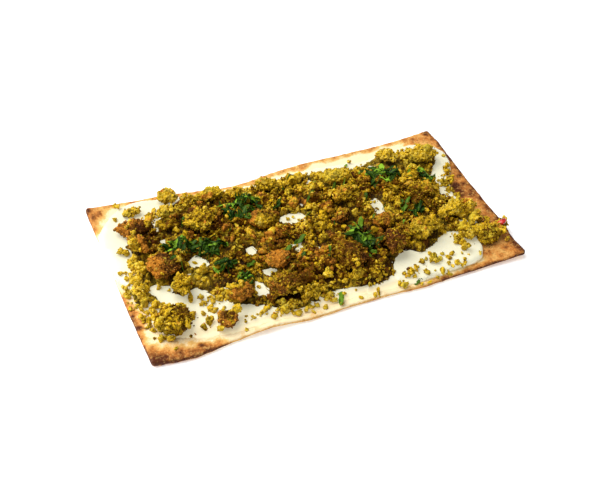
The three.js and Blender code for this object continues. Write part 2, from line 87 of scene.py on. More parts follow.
MM = 0.001
TALLEST = cad_box[1].z / MM + 0.4  # the highest that a piece or a crumb may reach
LEFT, RIGHT, FRONT, BACK = -151, 151, -77, 74  # the lines that the bread's edges run along
RIGHT_EDGE_OUT = 2.9  # how far baking has drawn the right edge out, between its corners
RIGHT_EDGE_UP = 1.4
BACK_EDGE_UP = 1.8
SPREAD_SHARE = 0.3  # how much of that the labneh at the right edge follows
RELIEF_STEP = 2.5  # between the places whose heights are compared
RELIEF_REACH = 3  # how many such steps each place is compared over, to every side
LOW_PLACE = 5.5  # crumbs lower than this lie on the spread, which lights them from below,
LOW_TONE = 0.6  # so they are at least this light
CHILLI_SPOT = (145.3, -46.5)
CHILLI_ROOM = 6.5  # what is left free of crumbs around it
CAMERA_PLACE = (-0.26836, -0.44347, 0.50591)  # metres
CAMERA_ANGLES = (30.58, 44.53, 8.0)  # degrees to the right, down and of roll
CHUNK_NODES = sorted(n for n in frame["nodes"] if n.startswith("falafel_chunk_"))
PILE_NODES = sorted(n for n in frame["nodes"] if n.startswith("mint_pile_"))
SHRED_NODES = sorted(n for n in frame["nodes"] if n.startswith("mint_shred_"))

# How far each large piece has browned, from 0 for a broken inside to 1 for fried crust all over,
# and how light its inside is
CHUNK_LOOKS = [
    (0.8, 0.25), (0.85, 0.45), (0.0, 0.95), (0.85, 0.3), (0.1, 0.75), (0.2, 0.28), (0.9, 0.3),
    (0.7, 0.4), (0.1, 0.65), (0.0, 0.95), (0.1, 0.85), (0.45, 0.85), (0.75, 0.35), (0.9, 0.55),
    (0.5, 0.2), (0.42, 0.4), (0.75, 0.35), (0.35, 0.5), (0.05, 0.55), (0.0, 0.7), (0.85, 0.45),
    (0.4, 0.65), (0.05, 0.95), (0.0, 1.05), (0.75, 0.45), (0.05, 0.8), (0.5, 0.45), (0.1, 0.6),
    (0.1, 0.68), (0.05, 0.9), (0.0, 0.75), (0.0, 0.8),
]
# Where the heap is browner or lighter than elsewhere: place, half lengths, browner, lighter
# The lighter column is partly the falafel's own tone and partly painted light and shade: painted shadow
# between the pieces, and painted light where they lie in shadow
HEAP_ZONES = [
    (-112, -8, 20, 18, 0.20, -0.20), (-20, -46, 40, 14, 0.22, -0.28), (22, -28, 20, 18, 0.26, -0.30),
    (54, -38, 14, 12, 0.10, -0.25), (-30, 5, 26, 22, 0.22, -0.05), (112, 0, 42, 60, -0.30, 0.20),
    (92, -7, 15, 13, 0.10, -0.55), (71, 30, 14, 11, 0.10, -0.38), (48, 12, 12, 10, 0.10, -0.22),
    (-79, 42, 15, 10, 0.00, -0.40), (-59, -16, 12, 9, 0.05, -0.28), (-121, 32, 12, 10, 0.10, -0.25),
    (-138, -14, 16, 30, -0.40, 0.74), (20, 56, 80, 12, -0.20, 0.22), (-90, 60, 46, 13, -0.20, 0.42),
    (120, 56, 26, 18, -0.20, 0.44), (-12, -66, 62, 10, -0.15, 0.42), (-89, -42, 18, 11, -0.20, 0.38),
    (-56, -36, 11, 9, -0.10, 0.46), (-95, -10, 10, 10, -0.10, 0.30), (-2, 15, 11, 9, -0.10, 0.30),
    (-38, 7, 9, 9, -0.15, 0.66), (126, -24, 15, 10, 0.00, 0.28), (30, 41, 16, 9, -0.10, 0.38),
    (20, -58, 18, 10, 0.10, -0.50), (34, -14, 9, 9, 0.10, -0.25), (46, -60, 8, 8, 0.00, -0.30),
    (97, 15, 12, 10, 0.10, -0.30), (114, -9, 12, 9, 0.05, -0.30), (36, -34, 10, 9, 0.05, -0.22),
    (-67, 42, 9, 9, 0.05, -0.26), (-40, 28, 14, 8, 0.05, -0.26), (-124, 27, 7, 8, 0.10, -0.25),
    (-118, -54, 7, 9, 0.00, -0.45), (-111, -24, 9, 8, 0.10, -0.22), (78, -56, 8, 6, 0.00, -0.30),
    (127, -54, 9, 7, 0.00, -0.40), (134, 18, 8, 9, 0.00, -0.60), (77, 28, 9, 8, 0.00, -0.20),
    (-128, -24, 10, 10, -0.10, 0.35), (-137, -62, 8, 10, 0.00, 0.40), (-21, 60, 16, 8, -0.10, 0.54),
    (-12, -70, 15, 7, 0.00, 0.55), (-99, 54, 14, 9, -0.10, 0.54), (128, 66, 12, 9, -0.10, 0.40),
    (78, 56, 14, 8, -0.10, 0.55), (-65, -74, 14, 7, 0.00, 0.40), (102, 47, 11, 9, -0.10, 0.55),
    (-2, 20, 10, 8, -0.10, 0.42), (-50, -34, 12, 10, -0.05, 0.32), (-87, -43, 9, 8, -0.05, 0.36),
    (-93, -17, 9, 8, -0.10, 0.30), (-99, -42, 8, 8, 0.00, 0.26), (-105, 21, 8, 8, -0.10, 0.28),
    (-137, 38, 8, 8, -0.05, 0.34), (75, -70, 16, 7, 0.00, 0.26), (67, -6, 7, 7, 0.00, 0.24),
    (-33, -55, 16, 8, 0.10, -0.34), (-4, -23, 9, 8, -0.10, 0.42), (72, -38, 9, 8, -0.05, 0.36),
    (-97, -21, 8, 8, -0.05, 0.24), (-98, -70, 7, 7, 0.30, 0.42), (86, 6, 8, 8, 0.05, -0.24),
    (30, -22, 8, 8, 0.05, -0.24), (-60, 2, 8, 8, -0.05, 0.30),
    (18, -72, 9, 7, 0.05, -0.32), (20, -65, 10, 7, 0.05, -0.26), (-28, -58, 9, 7, 0.05, -0.24),
]
LIGHTER_SHARE, DARKER_SHARE = 1.5, 1.2  # how much of each of these the shaders get
# Where the labneh shows between the crumbs: place, half lengths and turn in degrees
BARE_PATCHES = [
    (-91, -5, 6.5, 6, 0), (-50, -5, 2.6, 4, 0), (-123, -20, 8, 5.5, -15), (-6, 15, 10.5, 4.6, -12),
    (-15, -12, 4, 4.5, 0), (63, 8, 5, 9, -20), (-57, -42, 3.5, 6, 12), (121, -33, 4.5, 3.4, 0),
    (-102, -13, 2.6, 2.6, 0), (-94, 56, 3.2, 4, 0), (-79, -33, 7, 2.4, 5), (-46, -29, 3, 2.6, 0),
    (126, -3, 3.6, 6, 0), (81, 51, 3, 2.6, 0), (0, -20, 2.2, 2.2, 0), (26, 50, 2.6, 2, 0),
    (58, 54, 3, 2, 0), (-108, 24, 2.4, 3, 0), (119, 26, 2.2, 3, 0), (6, 27, 2, 2, 0),
    (-136, -40, 4, 4, 0), (91, 44, 2.4, 2, 0), (-139, 13, 7, 14, 0), (4, -69, 8, 8, 0),
    (28, -73, 13, 5, 0), (-27, -72, 10, 4, 0), (-67, -62, 7, 5, 0), (56, -52, 6, 8, 0),
    (117, -49, 6, 4, 0), (-101, -33, 7, 6, 0), (-86, -47, 5, 4, 0), (-102, 58, 6, 8, 0),
    (-45, -29, 4, 3, 0), (-78, 68, 4, 4, 0), (-50, 66, 8, 5, 0),
    (-124, -30, 10, 5, 0), (-113, -34, 6, 5, 0),
]
# Clumps that join the heap to the large pieces beside it: place, and distance across
JOINING_CLUMPS = [
    (122, -17, 10), (128, -25, 10), (132, -33, 10), (126, -35, 9), (135, -41, 9), (119, -27, 9),
    (117, -48, 8), (109, -43, 9), (104, -52, 8), (104, -59, 6), (113, -52, 7), (121, -50, 7),
    (124, -43, 8), (139, -37, 6), (-139, -8, 8), (-142, -17, 8), (-137, -20, 7), (-139, -27, 8),
    (-133, -33, 7), (-136, -38, 6), (-128, -34, 6), (-131, -3, 7), (-134, 5, 5), (-84, -60, 8),
    (-98, -66, 6), (-117, -42, 7), (-113, -50, 7), (-137, -55, 7), (-131, -62, 6), (-119, -60, 7),
    (141, -55, 7), (144, -59, 5), (-110, -29, 8), (-108, -35, 6), (-134, 12, 7), (-137, 20, 6), (-133, 18, 7),
    (-132, 3, 8), (134, 13, 7), (137, 21, 6),
]
# Crumbs that lie on the bare spread: place, and distance across
LOOSE_CRUMBS = [
    (-138, -60, 5), (-146, 4, 3.6), (-134, 56, 4), (-128, 68, 4.6), (-102, -58, 6.5),
    (-66, -64, 5), (-20, -72, 4.4), (23, -72, 4.6), (44, -73, 6), (52, -66, 5.5), (64, -71, 5.4),
    (76, -73, 5.4), (90, -71, 5.6), (104, -60, 5.6), (106, -48, 6.4), (128, 12, 6),
    (138, 26, 5.4), (66, 62, 4.4),
]
SMALL_LOOSE_CRUMBS = [
    (101, -51, 4.2), (110, -50, 3.6), (87, -63, 4.4), (113, -67, 2.8), (47, -65, 3.6),
    (58, -63, 4.2), (70, -58, 3.4), (46, -77, 3.2), (57, -76, 3.4), (63, -76, 3.0), (82, -73, 4.4),
    (86, -71, 3.6), (97, -71, 3.8), (72, -74, 3.6), (19, -73, 3.2), (142, 30, 4.6), (131, 14, 4.0),
    (128, 5, 4.8), (145, 41, 3.0), (-134, 6, 3.6), (-142, 4, 2.6), (-138, 19, 3.2),
    (-131, -70, 3.0), (-81, -72, 3.0), (-129, 72, 3.6), (-107, -61, 4.6), (-104, -50, 4.2),
    (-108, 52, 4.0), (-112, 47, 3.2), (-104, 57, 4.4), (-60, -61, 3.6), (-73, -66, 3.4),
    (120, 9, 3.4), (134, 21, 3.0), (-8, -73, 3.2), (8, -72, 3.6), (-30, -73, 3.0),
    (-147, -6, 3.6), (-145, -11, 4.6), (-144, -37, 4.6), (-141, -45, 4.2), (-143, -2, 4.4),
    (66, -60, 4.0), (75, -56, 4.4), (54, -70, 3.6), (41, -70, 4.0), (84, -58, 3.0),
    (-30, -69, 4.2), (-49, -67, 4.4), (-12, -68, 4.4), (-4, -66, 3.6), (-101, -36, 4.0),
    (-87, -34, 4.4), (-83, -38, 4.0), (-82, -46, 4.4), (-116, -38, 3.6), (-108, -36, 2.8),
    (-93, -3, 3.2), (-87, -7, 2.6), (-10, 16, 3.4), (-2, 13, 2.8), (-5, 17, 2.4), (62, 4, 3.2),
    (64, 12, 2.8), (-125, -18, 3.4), (-119, -22, 2.8), (-122, -16, 2.4), (-58, -40, 2.8),
    (-78, -33, 3.2), (-15, -12, 2.6), (-83, -34, 2.4), (-73, -32, 2.8),
]
# Where crumbs are strewn more thickly over whatever is there: place, half lengths, and how many
CRUMB_FIELDS = [
    (-140, -20, 9, 24, 84), (-135, -50, 9, 11, 34), (-89, -42, 17, 9, 60), (-45, -65, 36, 6, 80),
    (72, -66, 34, 8, 16), (129, 8, 9, 14, 26), (-98, 50, 12, 12, 16),
    (10, -60, 30, 8, 40), (112, -40, 12, 6, 16), (-134, 10, 4, 15, 60),
]
# The kinds of crumb: how many models, subdivisions, grain, first seed, proportions, raggedness,
# least and most across, and how far out from the falafel they stray
CRUMB_KINDS = {
    "clump": (6, 4, 2.4, 200, (1.3, 1.0, 0.75), 0.0, 6.0, 11.0, 0.0),
    "crumb": (16, 3, 3.2, 300, (1.4, 1.0, 0.75), 0.06, 3.4, 6.4, 1.2),
    "small": (12, 2, 4.4, 400, (1.45, 1.0, 0.75), 0.16, 2.2, 3.6, 3.0),
    "fine": (12, 1, 4.4, 500, (1.4, 1.0, 0.8), 0.2, 1.0, 2.2, 4.5),
}
# Where the bread's edges have browned most: place, reach and how brown
BROWNED_CORNERS = [
    (-152, -80, 29, 0.94), (152, -76, 30, 0.64), (150, 76, 44, 0.5), (-152, 76, 28, 0.5),
    (-152, -80, 14, 1.2), (152, 78, 10, 1.3), (153, -78, 8, 0.9), (146, 5, 24, 0.86),
    (148, -74, 9, 0.5),
]
# The mint's cut strips: width, curl and twist in degrees
SHRED_FORMS = [(2.2, 20, 0), (3.4, 45, 20), (1.5, 30, 70), (4.4, 30, 0), (2.8, 70, 40), (1.2, 60, 0)]
# Small bits of mint between the piles: place, length, turn in degrees and how pale
MINT_FLECKS = [
    (-110, -3, 9, 60, 0.05), (-109, -6, 9, 20, 0.1), (-112, 1, 8, 95, 0.1), (54, -74, 5, 10, 0.2),
    (-44, 20, 10, 120, 0.1), (-42, 26, 10, 80, 0.05), (-40, 21, 8, 60, 0.5), (-46, 25, 8, 20, 0.1),
    (37, -13, 10, 100, 0.1), (39, -10, 8, 60, 0.5), (38, -37, 9, 90, 0.05), (28, -39, 9, 20, 0.1),
    (39, -32, 9, 60, 0.05), (33, -39, 9, 130, 0.4), (41, -36, 7, 20, 0.1), (80, -1, 7, 60, 0.1),
    (77, -5, 6, 90, 0.4), (-32, 44, 9, 10, 0.1), (-36, 45, 8, 40, 0.6), (-53, 43, 7, 0, 0.1),
    (-105, -6, 7, 120, 0.5), (8, 54, 6, 20, 0.1), (26, 47, 6, 80, 0.4), (22, 16, 5, 40, 0.1),
    (-18, 4, 6, 70, 0.4), (-19, -29, 6, 30, 0.1), (55, 13, 6, 70, 0.1), (57, 9, 5, 110, 0.5),
    (68, 4, 6, 30, 0.15), (68, 43, 6, 20, 0.1), (64, 41, 5, 60, 0.6), (-3, 8, 4, 40, 0.2),
    (57, -73, 4, 160, 0.05), (24, 41, 5, 30, 0.5), (46, 33, 6, 50, 0.55), (52, 30, 5, 10, 0.3),
    (-2, 44, 5, 80, 0.1), (72, 24, 5, 30, 0.1), (103, 28, 6, 45, 0.5), (100, 22, 5, 120, 0.3),
    (-60, 12, 4, 15, 0.1), (18, -6, 4, 70, 0.1), (-34, -33, 4, 20, 0.2), (-12, 30, 6, 35, 0.05),
    (70, -22, 4, 60, 0.6), (116, -2, 5, 15, 0.1), (-55, 45, 4, 70, 0.1), (96, -6, 6, 60, 0.1),
    (-20, -4, 5, 160, 0.1), (31, 9, 4, 45, 0.2), (6, 14, 5, 10, 0.1), (-90, 30, 4, 50, 0.1),
    (130, 6, 6, 5, 0.05), (66, 46, 4, 20, 0.1), (-28, -21, 6, 30, 0.75), (-68, -28, 6, 35, 0.6),
]


def linear(red, green, blue):
    """A colour given as 0 to 255 on screen, as the shaders take it."""
    return tuple(
        c / 12.92 if c <= 0.04045 else ((c + 0.055) / 1.055) ** 2.4
        for c in (red / 255, green / 255, blue / 255)
    )


def colour_property(name, description, rgb):
    return FloatVectorProperty(
        name=name, description=description, default=linear(*rgb), min=0, max=1, subtype="COLOR"
    )


def length_property(name, description, millimetres):
    return FloatProperty(
        name=name,
        description=description,
        default=millimetres * MM,
        min=0,
        subtype="DISTANCE",
        unit="LENGTH",
    )


def count_property(name, description, count):
    return IntProperty(name=name, description=description, default=count, min=0)


def number_property(name, description, value):
    return FloatProperty(name=name, description=description, default=value, min=0)


# Settings


class FLATBREAD_PG_bread(bpy.types.PropertyGroup):
    net: length_property("Net", "Distance between the points of the bread's surface", 1.15)
    blister: length_property("Blisters", "Height of the baked blisters", 0.55)
    pale: colour_property("Pale", "Bread that has hardly browned", (252, 232, 188))
    golden: colour_property("Golden", "Lightly browned bread", (233, 184, 104))
    toasted: colour_property("Toasted", "Browned bread", (198, 125, 54))
    dark: colour_property("Dark", "Bread baked darkest, along the edges", (84, 36, 9))


class FLATBREAD_PG_labneh(bpy.types.PropertyGroup):
    net: length_property("Net", "Distance between the points of the spread's surface", 1.4)
    swipe: length_property("Swipes", "Depth of the marks left by the spoon", 0.5)
    colour: colour_property("Colour", "The strained yoghurt", (212, 209, 184))
    thin: colour_property("Thin", "Where the bread shows through it", (240, 223, 178))


class FLATBREAD_PG_falafel(bpy.types.PropertyGroup):
    heap_net: length_property("Heap net", "Distance between points of the heap's surface", 1.0)
    chunk_net: length_property("Piece net", "Distance between points on a large piece", 0.5)
    grain: length_property("Grain", "Size of the grains that a piece is made of", 1.7)
    lump: length_property("Lumps", "Size of the lumps that the heap is made of", 9.0)
    clumps: count_property("Clumps", "Number of strewn clumps", 220)
    crumbs: count_property("Crumbs", "Number of strewn crumbs", 900)
    small: count_property("Small crumbs", "Number of small crumbs", 750)
    fines: count_property("Fine crumbs", "Number of fine crumbs", 3600)
    light: colour_property("Light inside", "The lightest of the inside", (252, 205, 22))
    deep: colour_property("Deep inside", "The darkest of the inside", (106, 62, 0))
    fried: colour_property("Fried", "Lightly fried crust", (218, 138, 38))
    crust: colour_property("Crust", "The darkest crust", (86, 45, 6))
    herb: colour_property("Herb", "Chopped herb in the falafel", (96, 104, 8))
    lime: colour_property("Lime", "Where the inside is greener", (218, 202, 62))
    # Painted highlight: the pale colour of the glints and of the lightest places on the crumbs
    glint: colour_property("Highlight", "The palest bits in the inside", (255, 228, 112))


class FLATBREAD_PG_mint(bpy.types.PropertyGroup):
    width: number_property("Width", "Share of a shred's full width", 1.0)
    dark: colour_property("Dark", "Upper side of a leaf", (6, 39, 0))
    pale: colour_property("Pale", "Underside of a leaf", (154, 200, 52))
    chilli: colour_property("Chilli", "Skin of the chilli piece", (214, 34, 22))


class FLATBREAD_PG_studio(bpy.types.PropertyGroup):
    floor: colour_property("Floor", "Colour of the floor", (250, 250, 252))
    key: number_property("Key", "Strength of the soft light", 37.0)
    top: number_property("Top", "Strength of the light above", 4.0)
    fill: number_property("Fill", "Strength of the light all round", 0.3)
    lens: FloatProperty(
        name="Lens", description="Focal length on a 36 mm wide sensor", default=56.82, min=1
    )


def settings(group):
    return getattr(bpy.context.scene, "flatbread_" + group)


# Picking and shaping meshes


def pick(*objects):
    """Leaves only these objects selected, the last of them active."""
    if bpy.context.mode != "OBJECT":
        bpy.ops.object.mode_set(mode="OBJECT")
    bpy.ops.object.select_all(action="DESELECT")
    for ob in objects:
        ob.select_set(True)
        bpy.context.view_layer.objects.active = ob


@contextmanager
def editing():
    """Edit mode with all of the active mesh selected, and then object mode again."""
    bpy.ops.object.mode_set(mode="EDIT")
    bpy.ops.mesh.select_all(action="SELECT")
    yield
    bpy.ops.object.mode_set(mode="OBJECT")


def primitive(add, name, **sizes):
    """A new primitive, alone in the selection."""
    pick()
    add(**sizes)
    ob = bpy.context.active_object
    ob.name = ob.data.name = name
    return ob


def finished(ob, kind, **values):
    """Adds a modifier with these values to an object and applies it."""
    pick(ob)
    modifier = ob.modifiers.new(kind.title(), kind)
    for key, value in values.items():
        setattr(modifier, key, value)
    bpy.ops.object.modifier_apply(modifier=modifier.name)


def remade(node, name, net, smoothing):
    """A copy of a solid, merged and given an even fine surface that relief can be worked into."""
    ob = bpy.data.objects.new(name, frame["nodes"][node].data.copy())
    ob.data.name = name
    bpy.context.scene.collection.objects.link(ob)
    pick(ob)
    with editing():
        bpy.ops.mesh.remove_doubles(threshold=0.01 * MM)
    finished(ob, "REMESH", mode="VOXEL", voxel_size=net)
    finished(ob, "SMOOTH", factor=0.5, iterations=smoothing)
    return ob


def places(ob):
    """The points of a mesh in millimetres."""
    found = np.empty(len(ob.data.vertices) * 3, np.float32)
    ob.data.vertices.foreach_get("co", found)
    return found.reshape(-1, 3).astype(float) / MM


def outward(ob):
    """The direction that each point of a mesh faces."""
    found = np.empty(len(ob.data.vertices) * 3, np.float32)
    ob.data.vertices.foreach_get("normal", found)
    return found.reshape(-1, 3).astype(float)


def put_back(ob, points):
    ob.data.vertices.foreach_set("co", (points * MM).astype(np.float32).ravel())
    ob.data.update()


def mark(ob, name, values):
    """Stores one number for each point, which the shaders read by name."""
    stored = ob.data.attributes.new(name, "FLOAT", "POINT")
    stored.data.foreach_set("value", np.clip(values, 0, 1).astype(np.float32))


def painted(ob, material):
    ob.data.materials.clear()
    ob.data.materials.append(material)


def placed(ob, material, slot, *nodes):
    """Hands a finished piece to the frame, in place of the solids that it stands for."""
    ob.data.polygons.foreach_set("use_smooth", [True] * len(ob.data.polygons))
    painted(ob, material)
    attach(ob, "root")
    if nodes:
        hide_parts(*nodes)


# Noise for relief and for how brown things are


def smoothed(low, high, values):
    """0 at low, 1 at high and smooth between, whichever of the two is the larger."""
    share = np.clip((values - low) / (high - low), 0, 1)
    return share * share * (3 - 2 * share)


def lattice(corner, seed):
    """An even spread of numbers from 0 to 1, one for each corner of a lattice."""
    mixed = corner[:, 0] * 73856093 ^ corner[:, 1] * 19349663 ^ corner[:, 2] * 83492791
    mixed = (mixed + seed * 2654435761) & 0xFFFFFFFF
    mixed = ((mixed ^ (mixed >> 15)) * 2246822519) & 0xFFFFFFFF
    mixed = ((mixed ^ (mixed >> 13)) * 3266489917) & 0xFFFFFFFF
    return ((mixed ^ (mixed >> 16)) & 0xFFFFFF) / 0xFFFFFF


def drift(points, size, seed):
    """Slow noise from -1 to 1, with swells about size apart."""
    spot = points / size
    base = np.floor(spot).astype(np.int64)
    share = spot - base
    share = share * share * (3 - 2 * share)
    total = np.zeros(len(points))
    for step in np.ndindex(2, 2, 2):
        weight = np.prod(np.where(np.array(step) == 1, share, 1 - share), axis=1)
        total += weight * lattice(base + np.array(step), seed)
    return total * 2 - 1


def drifts(points, size, seed):
    """Slow noise of its own along each axis."""
    return np.stack([drift(points, size, seed + k) for k in range(3)], axis=1)


def cells(points, size, seed):
    """How far the nearest and the next of points strewn size apart are, and the nearest's number."""
    spot = points / size
    base = np.floor(spot).astype(np.int64)
    near = np.full(len(points), 9.0)
    following = near.copy()
    own = np.zeros(len(points))
    for step in np.ndindex(3, 3, 3):
        corner = base + np.array(step) - 1
        jitter = np.stack([lattice(corner, seed + k) for k in range(3)], axis=1)
        away = np.linalg.norm(corner + 0.08 + 0.84 * jitter - spot, axis=1)
        closer = away < near
        following = np.where(closer, near, np.minimum(following, away))
        own = np.where(closer, jitter[:, 0], own)
        near = np.where(closer, away, near)
    return near, following, own


def crumbly(points, grain, seed):
    """Broken falafel: height in grains, how deep in a pit each point is, which sets the painted shade there,
    and each grain's number.
    """
    bent = points + 0.6 * grain * drifts(points, grain * 1.3, seed + 11)
    height = 0.5 * drift(points, grain * 4.2, seed + 7) + 0.3 * drift(bent, grain * 1.9, seed + 8)
    pit = np.zeros(len(points))
    own = np.zeros(len(points))
    for turn, (size, rise, depth) in enumerate(((2.1, 0.6, 0.7), (1.05, 0.5, 0.9), (0.55, 0.3, 0.6))):
        near, following, number = cells(bent, grain * size, seed + 20 * turn)
        apart = smoothed(0, 0.3, following - near)
        height += rise * (1.3 * (number - 0.5) * apart + 0.2 - 0.4 * near)
        pit = np.maximum(pit, depth * smoothed(0.4, 0.05, number))
        pit = np.maximum(pit, depth * 0.6 * (1 - smoothed(0.0, 0.2, following - near)))
        own += number / 3
    return height, pit, own


def bareness(points):
    """How near each place is to a bare patch: 1 inside it, and 0 well away from it."""
    found = np.zeros(len(points))
    for x, y, across, along, turn in BARE_PATCHES:
        turn = math.radians(turn)
        dx, dy = points[:, 0] - x, points[:, 1] - y
        u = (dx * math.cos(turn) + dy * math.sin(turn)) / across
        v = (dy * math.cos(turn) - dx * math.sin(turn)) / along
        beyond = (np.hypot(u, v) - 1) * min(across, along)
        found = np.maximum(found, np.exp(-np.maximum(beyond, 0) / 3.2))
    return found


def lumps(points):
    """How deep in a gap between the heap's lumps each point is, how central, and the lump's number."""
    flat = points * [1, 1, 0]
    ragged = flat + 2.2 * drifts(flat, 4, 45)
    near, following, own = cells(ragged * [1, 1, 0], settings("falafel").lump / MM, 47)
    return 1 - smoothed(0, 0.26, following - near), near, own


def inland(points):
    """About how far each point is from its mesh's outline in plan, up to 12 mm."""
    spot = np.round(points[:, :2] / 2).astype(int)
    spot -= spot.min(0) - 1
    grid = np.zeros(spot.max(0) + 2, bool)
    grid[spot[:, 0], spot[:, 1]] = True
    far = np.zeros(grid.shape)
    for _ in range(6):
        far += 2 * grid
        inner = grid[:-2, 1:-1] & grid[2:, 1:-1] & grid[1:-1, :-2] & grid[1:-1, 2:]
        grid[1:-1, 1:-1] &= inner
    return far[spot[:, 0], spot[:, 1]]


def curled(points, share=1.0):
    """The points with the back edge raised and the right edge drawn out, as baking has done."""
    x, y, z = points.T
    lip = smoothed(124, 150, x) * smoothed(-62, -38, y) * smoothed(74, 58, y)
    up = RIGHT_EDGE_UP * lip + BACK_EDGE_UP * smoothed(56, 76, y)
    return np.column_stack([x + RIGHT_EDGE_OUT * share * lip, y, z + up])


def mound(points, x, y, across, along, power=2):
    """1 at a place and falling to 0 round it, with these half lengths; steeper with more power."""
    return np.exp(-(((points[:, 0] - x) / across) ** power) - ((points[:, 1] - y) / along) ** power)


def browned(points):
    """How much browner, and how much lighter, the heap is at each place; the lightness is partly its own tone
    and partly painted light and shade.
    """
    brown = np.zeros(len(points))
    light = np.zeros(len(points))
    for x, y, across, along, browner, lighter in HEAP_ZONES:
        near = mound(points, x, y, across, along)
        brown += near * browner
        light += near * lighter * (LIGHTER_SHARE if lighter > 0 else DARKER_SHARE)
    return brown, light


# Strewing copies of a few models


def taken(ob, points, **marks):
    """The points, faces and marks of a model, whose own object goes."""
    faces = np.array([p.vertices[:] for p in ob.data.polygons])
    bpy.data.objects.remove(ob)
    return {"points": points, "faces": faces, **marks}


def template(name, subdivisions, grain, seed, stretch, ragged):
    """A crumb modelled once: an icosphere pulled out of round, cut by nine planes and given lumps."""
    ob = primitive(
        bpy.ops.mesh.primitive_ico_sphere_add, name, subdivisions=subdivisions, radius=5 * MM
    )
    with editing():
        bpy.ops.transform.resize(value=stretch)
    points = places(ob)
    random = np.random.default_rng(seed)
    for _ in range(9):
        facing = random.normal(size=3)
        facing /= np.linalg.norm(facing)
        beyond = np.maximum(points @ facing - random.uniform(2.2, 4.2), 0)
        points -= 0.85 * beyond[:, None] * facing
    height, pit, own = crumbly(points + 40 * seed, grain, seed)
    points += outward(ob) * (height * grain)[:, None]
    points *= 1 + ragged * random.uniform(-1, 1, (len(points), 1))
    put_back(ob, points * 10 / np.ptp(points, axis=0).mean())
    return taken(ob, places(ob) / 10, pit=pit, own=own)


def turned(random):
    """A turn about any axis, as a 3 by 3 matrix."""
    parts = random.normal(size=4)
    w, x, y, z = parts / np.linalg.norm(parts)
    return np.array(
        [
            [1 - 2 * (y * y + z * z), 2 * (x * y - z * w), 2 * (x * z + y * w)],
            [2 * (x * y + z * w), 1 - 2 * (x * x + z * z), 2 * (y * z - x * w)],
            [2 * (x * z - y * w), 2 * (y * z + x * w), 1 - 2 * (x * x + y * y)],
        ]
    )


def joined(name, parts):
    """One mesh of many parts, each with its points in millimetres, its faces and its marks."""
    starts = np.cumsum([0] + [len(p["points"]) for p in parts[:-1]])
    points = np.concatenate([p["points"] for p in parts])
    faces = np.concatenate([p["faces"] + start for p, start in zip(parts, starts)])
    mesh = bpy.data.meshes.new(name)
    mesh.from_pydata((points * MM).tolist(), [], faces.tolist())
    ob = bpy.data.objects.new(name, mesh)
    bpy.context.scene.collection.objects.link(ob)
    for key in parts[0]:
        if key not in ("points", "faces"):
            mark(ob, key, np.concatenate([p[key] for p in parts]))
    return ob


class Ground:
    """What lies highest at each place, of the pieces made so far."""

    def __init__(self):
        self.layers = []

    def add(self, kind, ob):
        bpy.context.view_layer.update()
        tree = BVHTree.FromObject(ob, bpy.context.evaluated_depsgraph_get())
        points = places(ob)
        self.layers.append((kind, tree, points.min(0), points.max(0)))

    def under(self, x, y):
        """The kind and height in millimetres of what is highest at a place, or None and 0."""
        kind, top = None, 0.0
        for name, tree, low, high in self.layers:
            if not (low[0] <= x <= high[0] and low[1] <= y <= high[1]):
                continue
            hit = tree.ray_cast(Vector((x * MM, y * MM, 0.1)), Vector((0, 0, -1)))[0]
            if hit is not None and hit.z / MM > top:
                kind, top = name, hit.z / MM
        return kind, top

    def heights(self, points):
        """The height of what is highest at each of these points."""
        return np.array([self.under(*place)[1] for place in points[:, :2]])


ground = Ground()


def laid(form, random, centre, size, crust, light):
    """One copy of a crumb at a place, with its own turn and proportions."""
    stretch = random.uniform(0.78, 1.24, 3)
    points = (form["points"] * stretch) @ turned(random).T
    # Painted shade: each copy is darker on its underside and in its pits
    under = smoothed(0.15, -0.4, points[:, 2])
    return {
        "points": points * size + centre,
        "faces": form["faces"],
        "pit": 0.6 * np.maximum(form["pit"], under),
        "tone": light + 0.34 * (form["own"] - 0.5) + random.uniform(-0.12, 0.12),
        "crust": crust + 0.3 * (form["own"] - 0.5),
    }


# Shader sums


class Value:
    """A shader socket that takes part in Python sums."""

    def __init__(self, net, socket):
        self.net = net
        self.socket = socket

    def sum(self, operation, first, second, clamp=False):
        choices = {"operation": operation, "use_clamp": clamp}
        return self.net.node("ShaderNodeMath", choices, {0: first, 1: second})

    def __add__(self, other):
        return self.sum("ADD", self, other)

    def __radd__(self, other):
        return self.sum("ADD", other, self)

    def __sub__(self, other):
        return self.sum("SUBTRACT", self, other)

    def __rsub__(self, other):
        return self.sum("SUBTRACT", other, self)

    def __mul__(self, other):
        return self.sum("MULTIPLY", self, other)

    def __rmul__(self, other):
        return self.sum("MULTIPLY", other, self)

    def clamped(self):
        return self.sum("ADD", self, 0.0, clamp=True)

    def step(self, low, high):
        """0 below low, 1 above high and smooth between."""
        return self.net.node(
            "ShaderNodeMapRange",
            {"interpolation_type": "SMOOTHSTEP"},
            {0: self, 1: low, 2: high, 3: 0.0, 4: 1.0},
        )


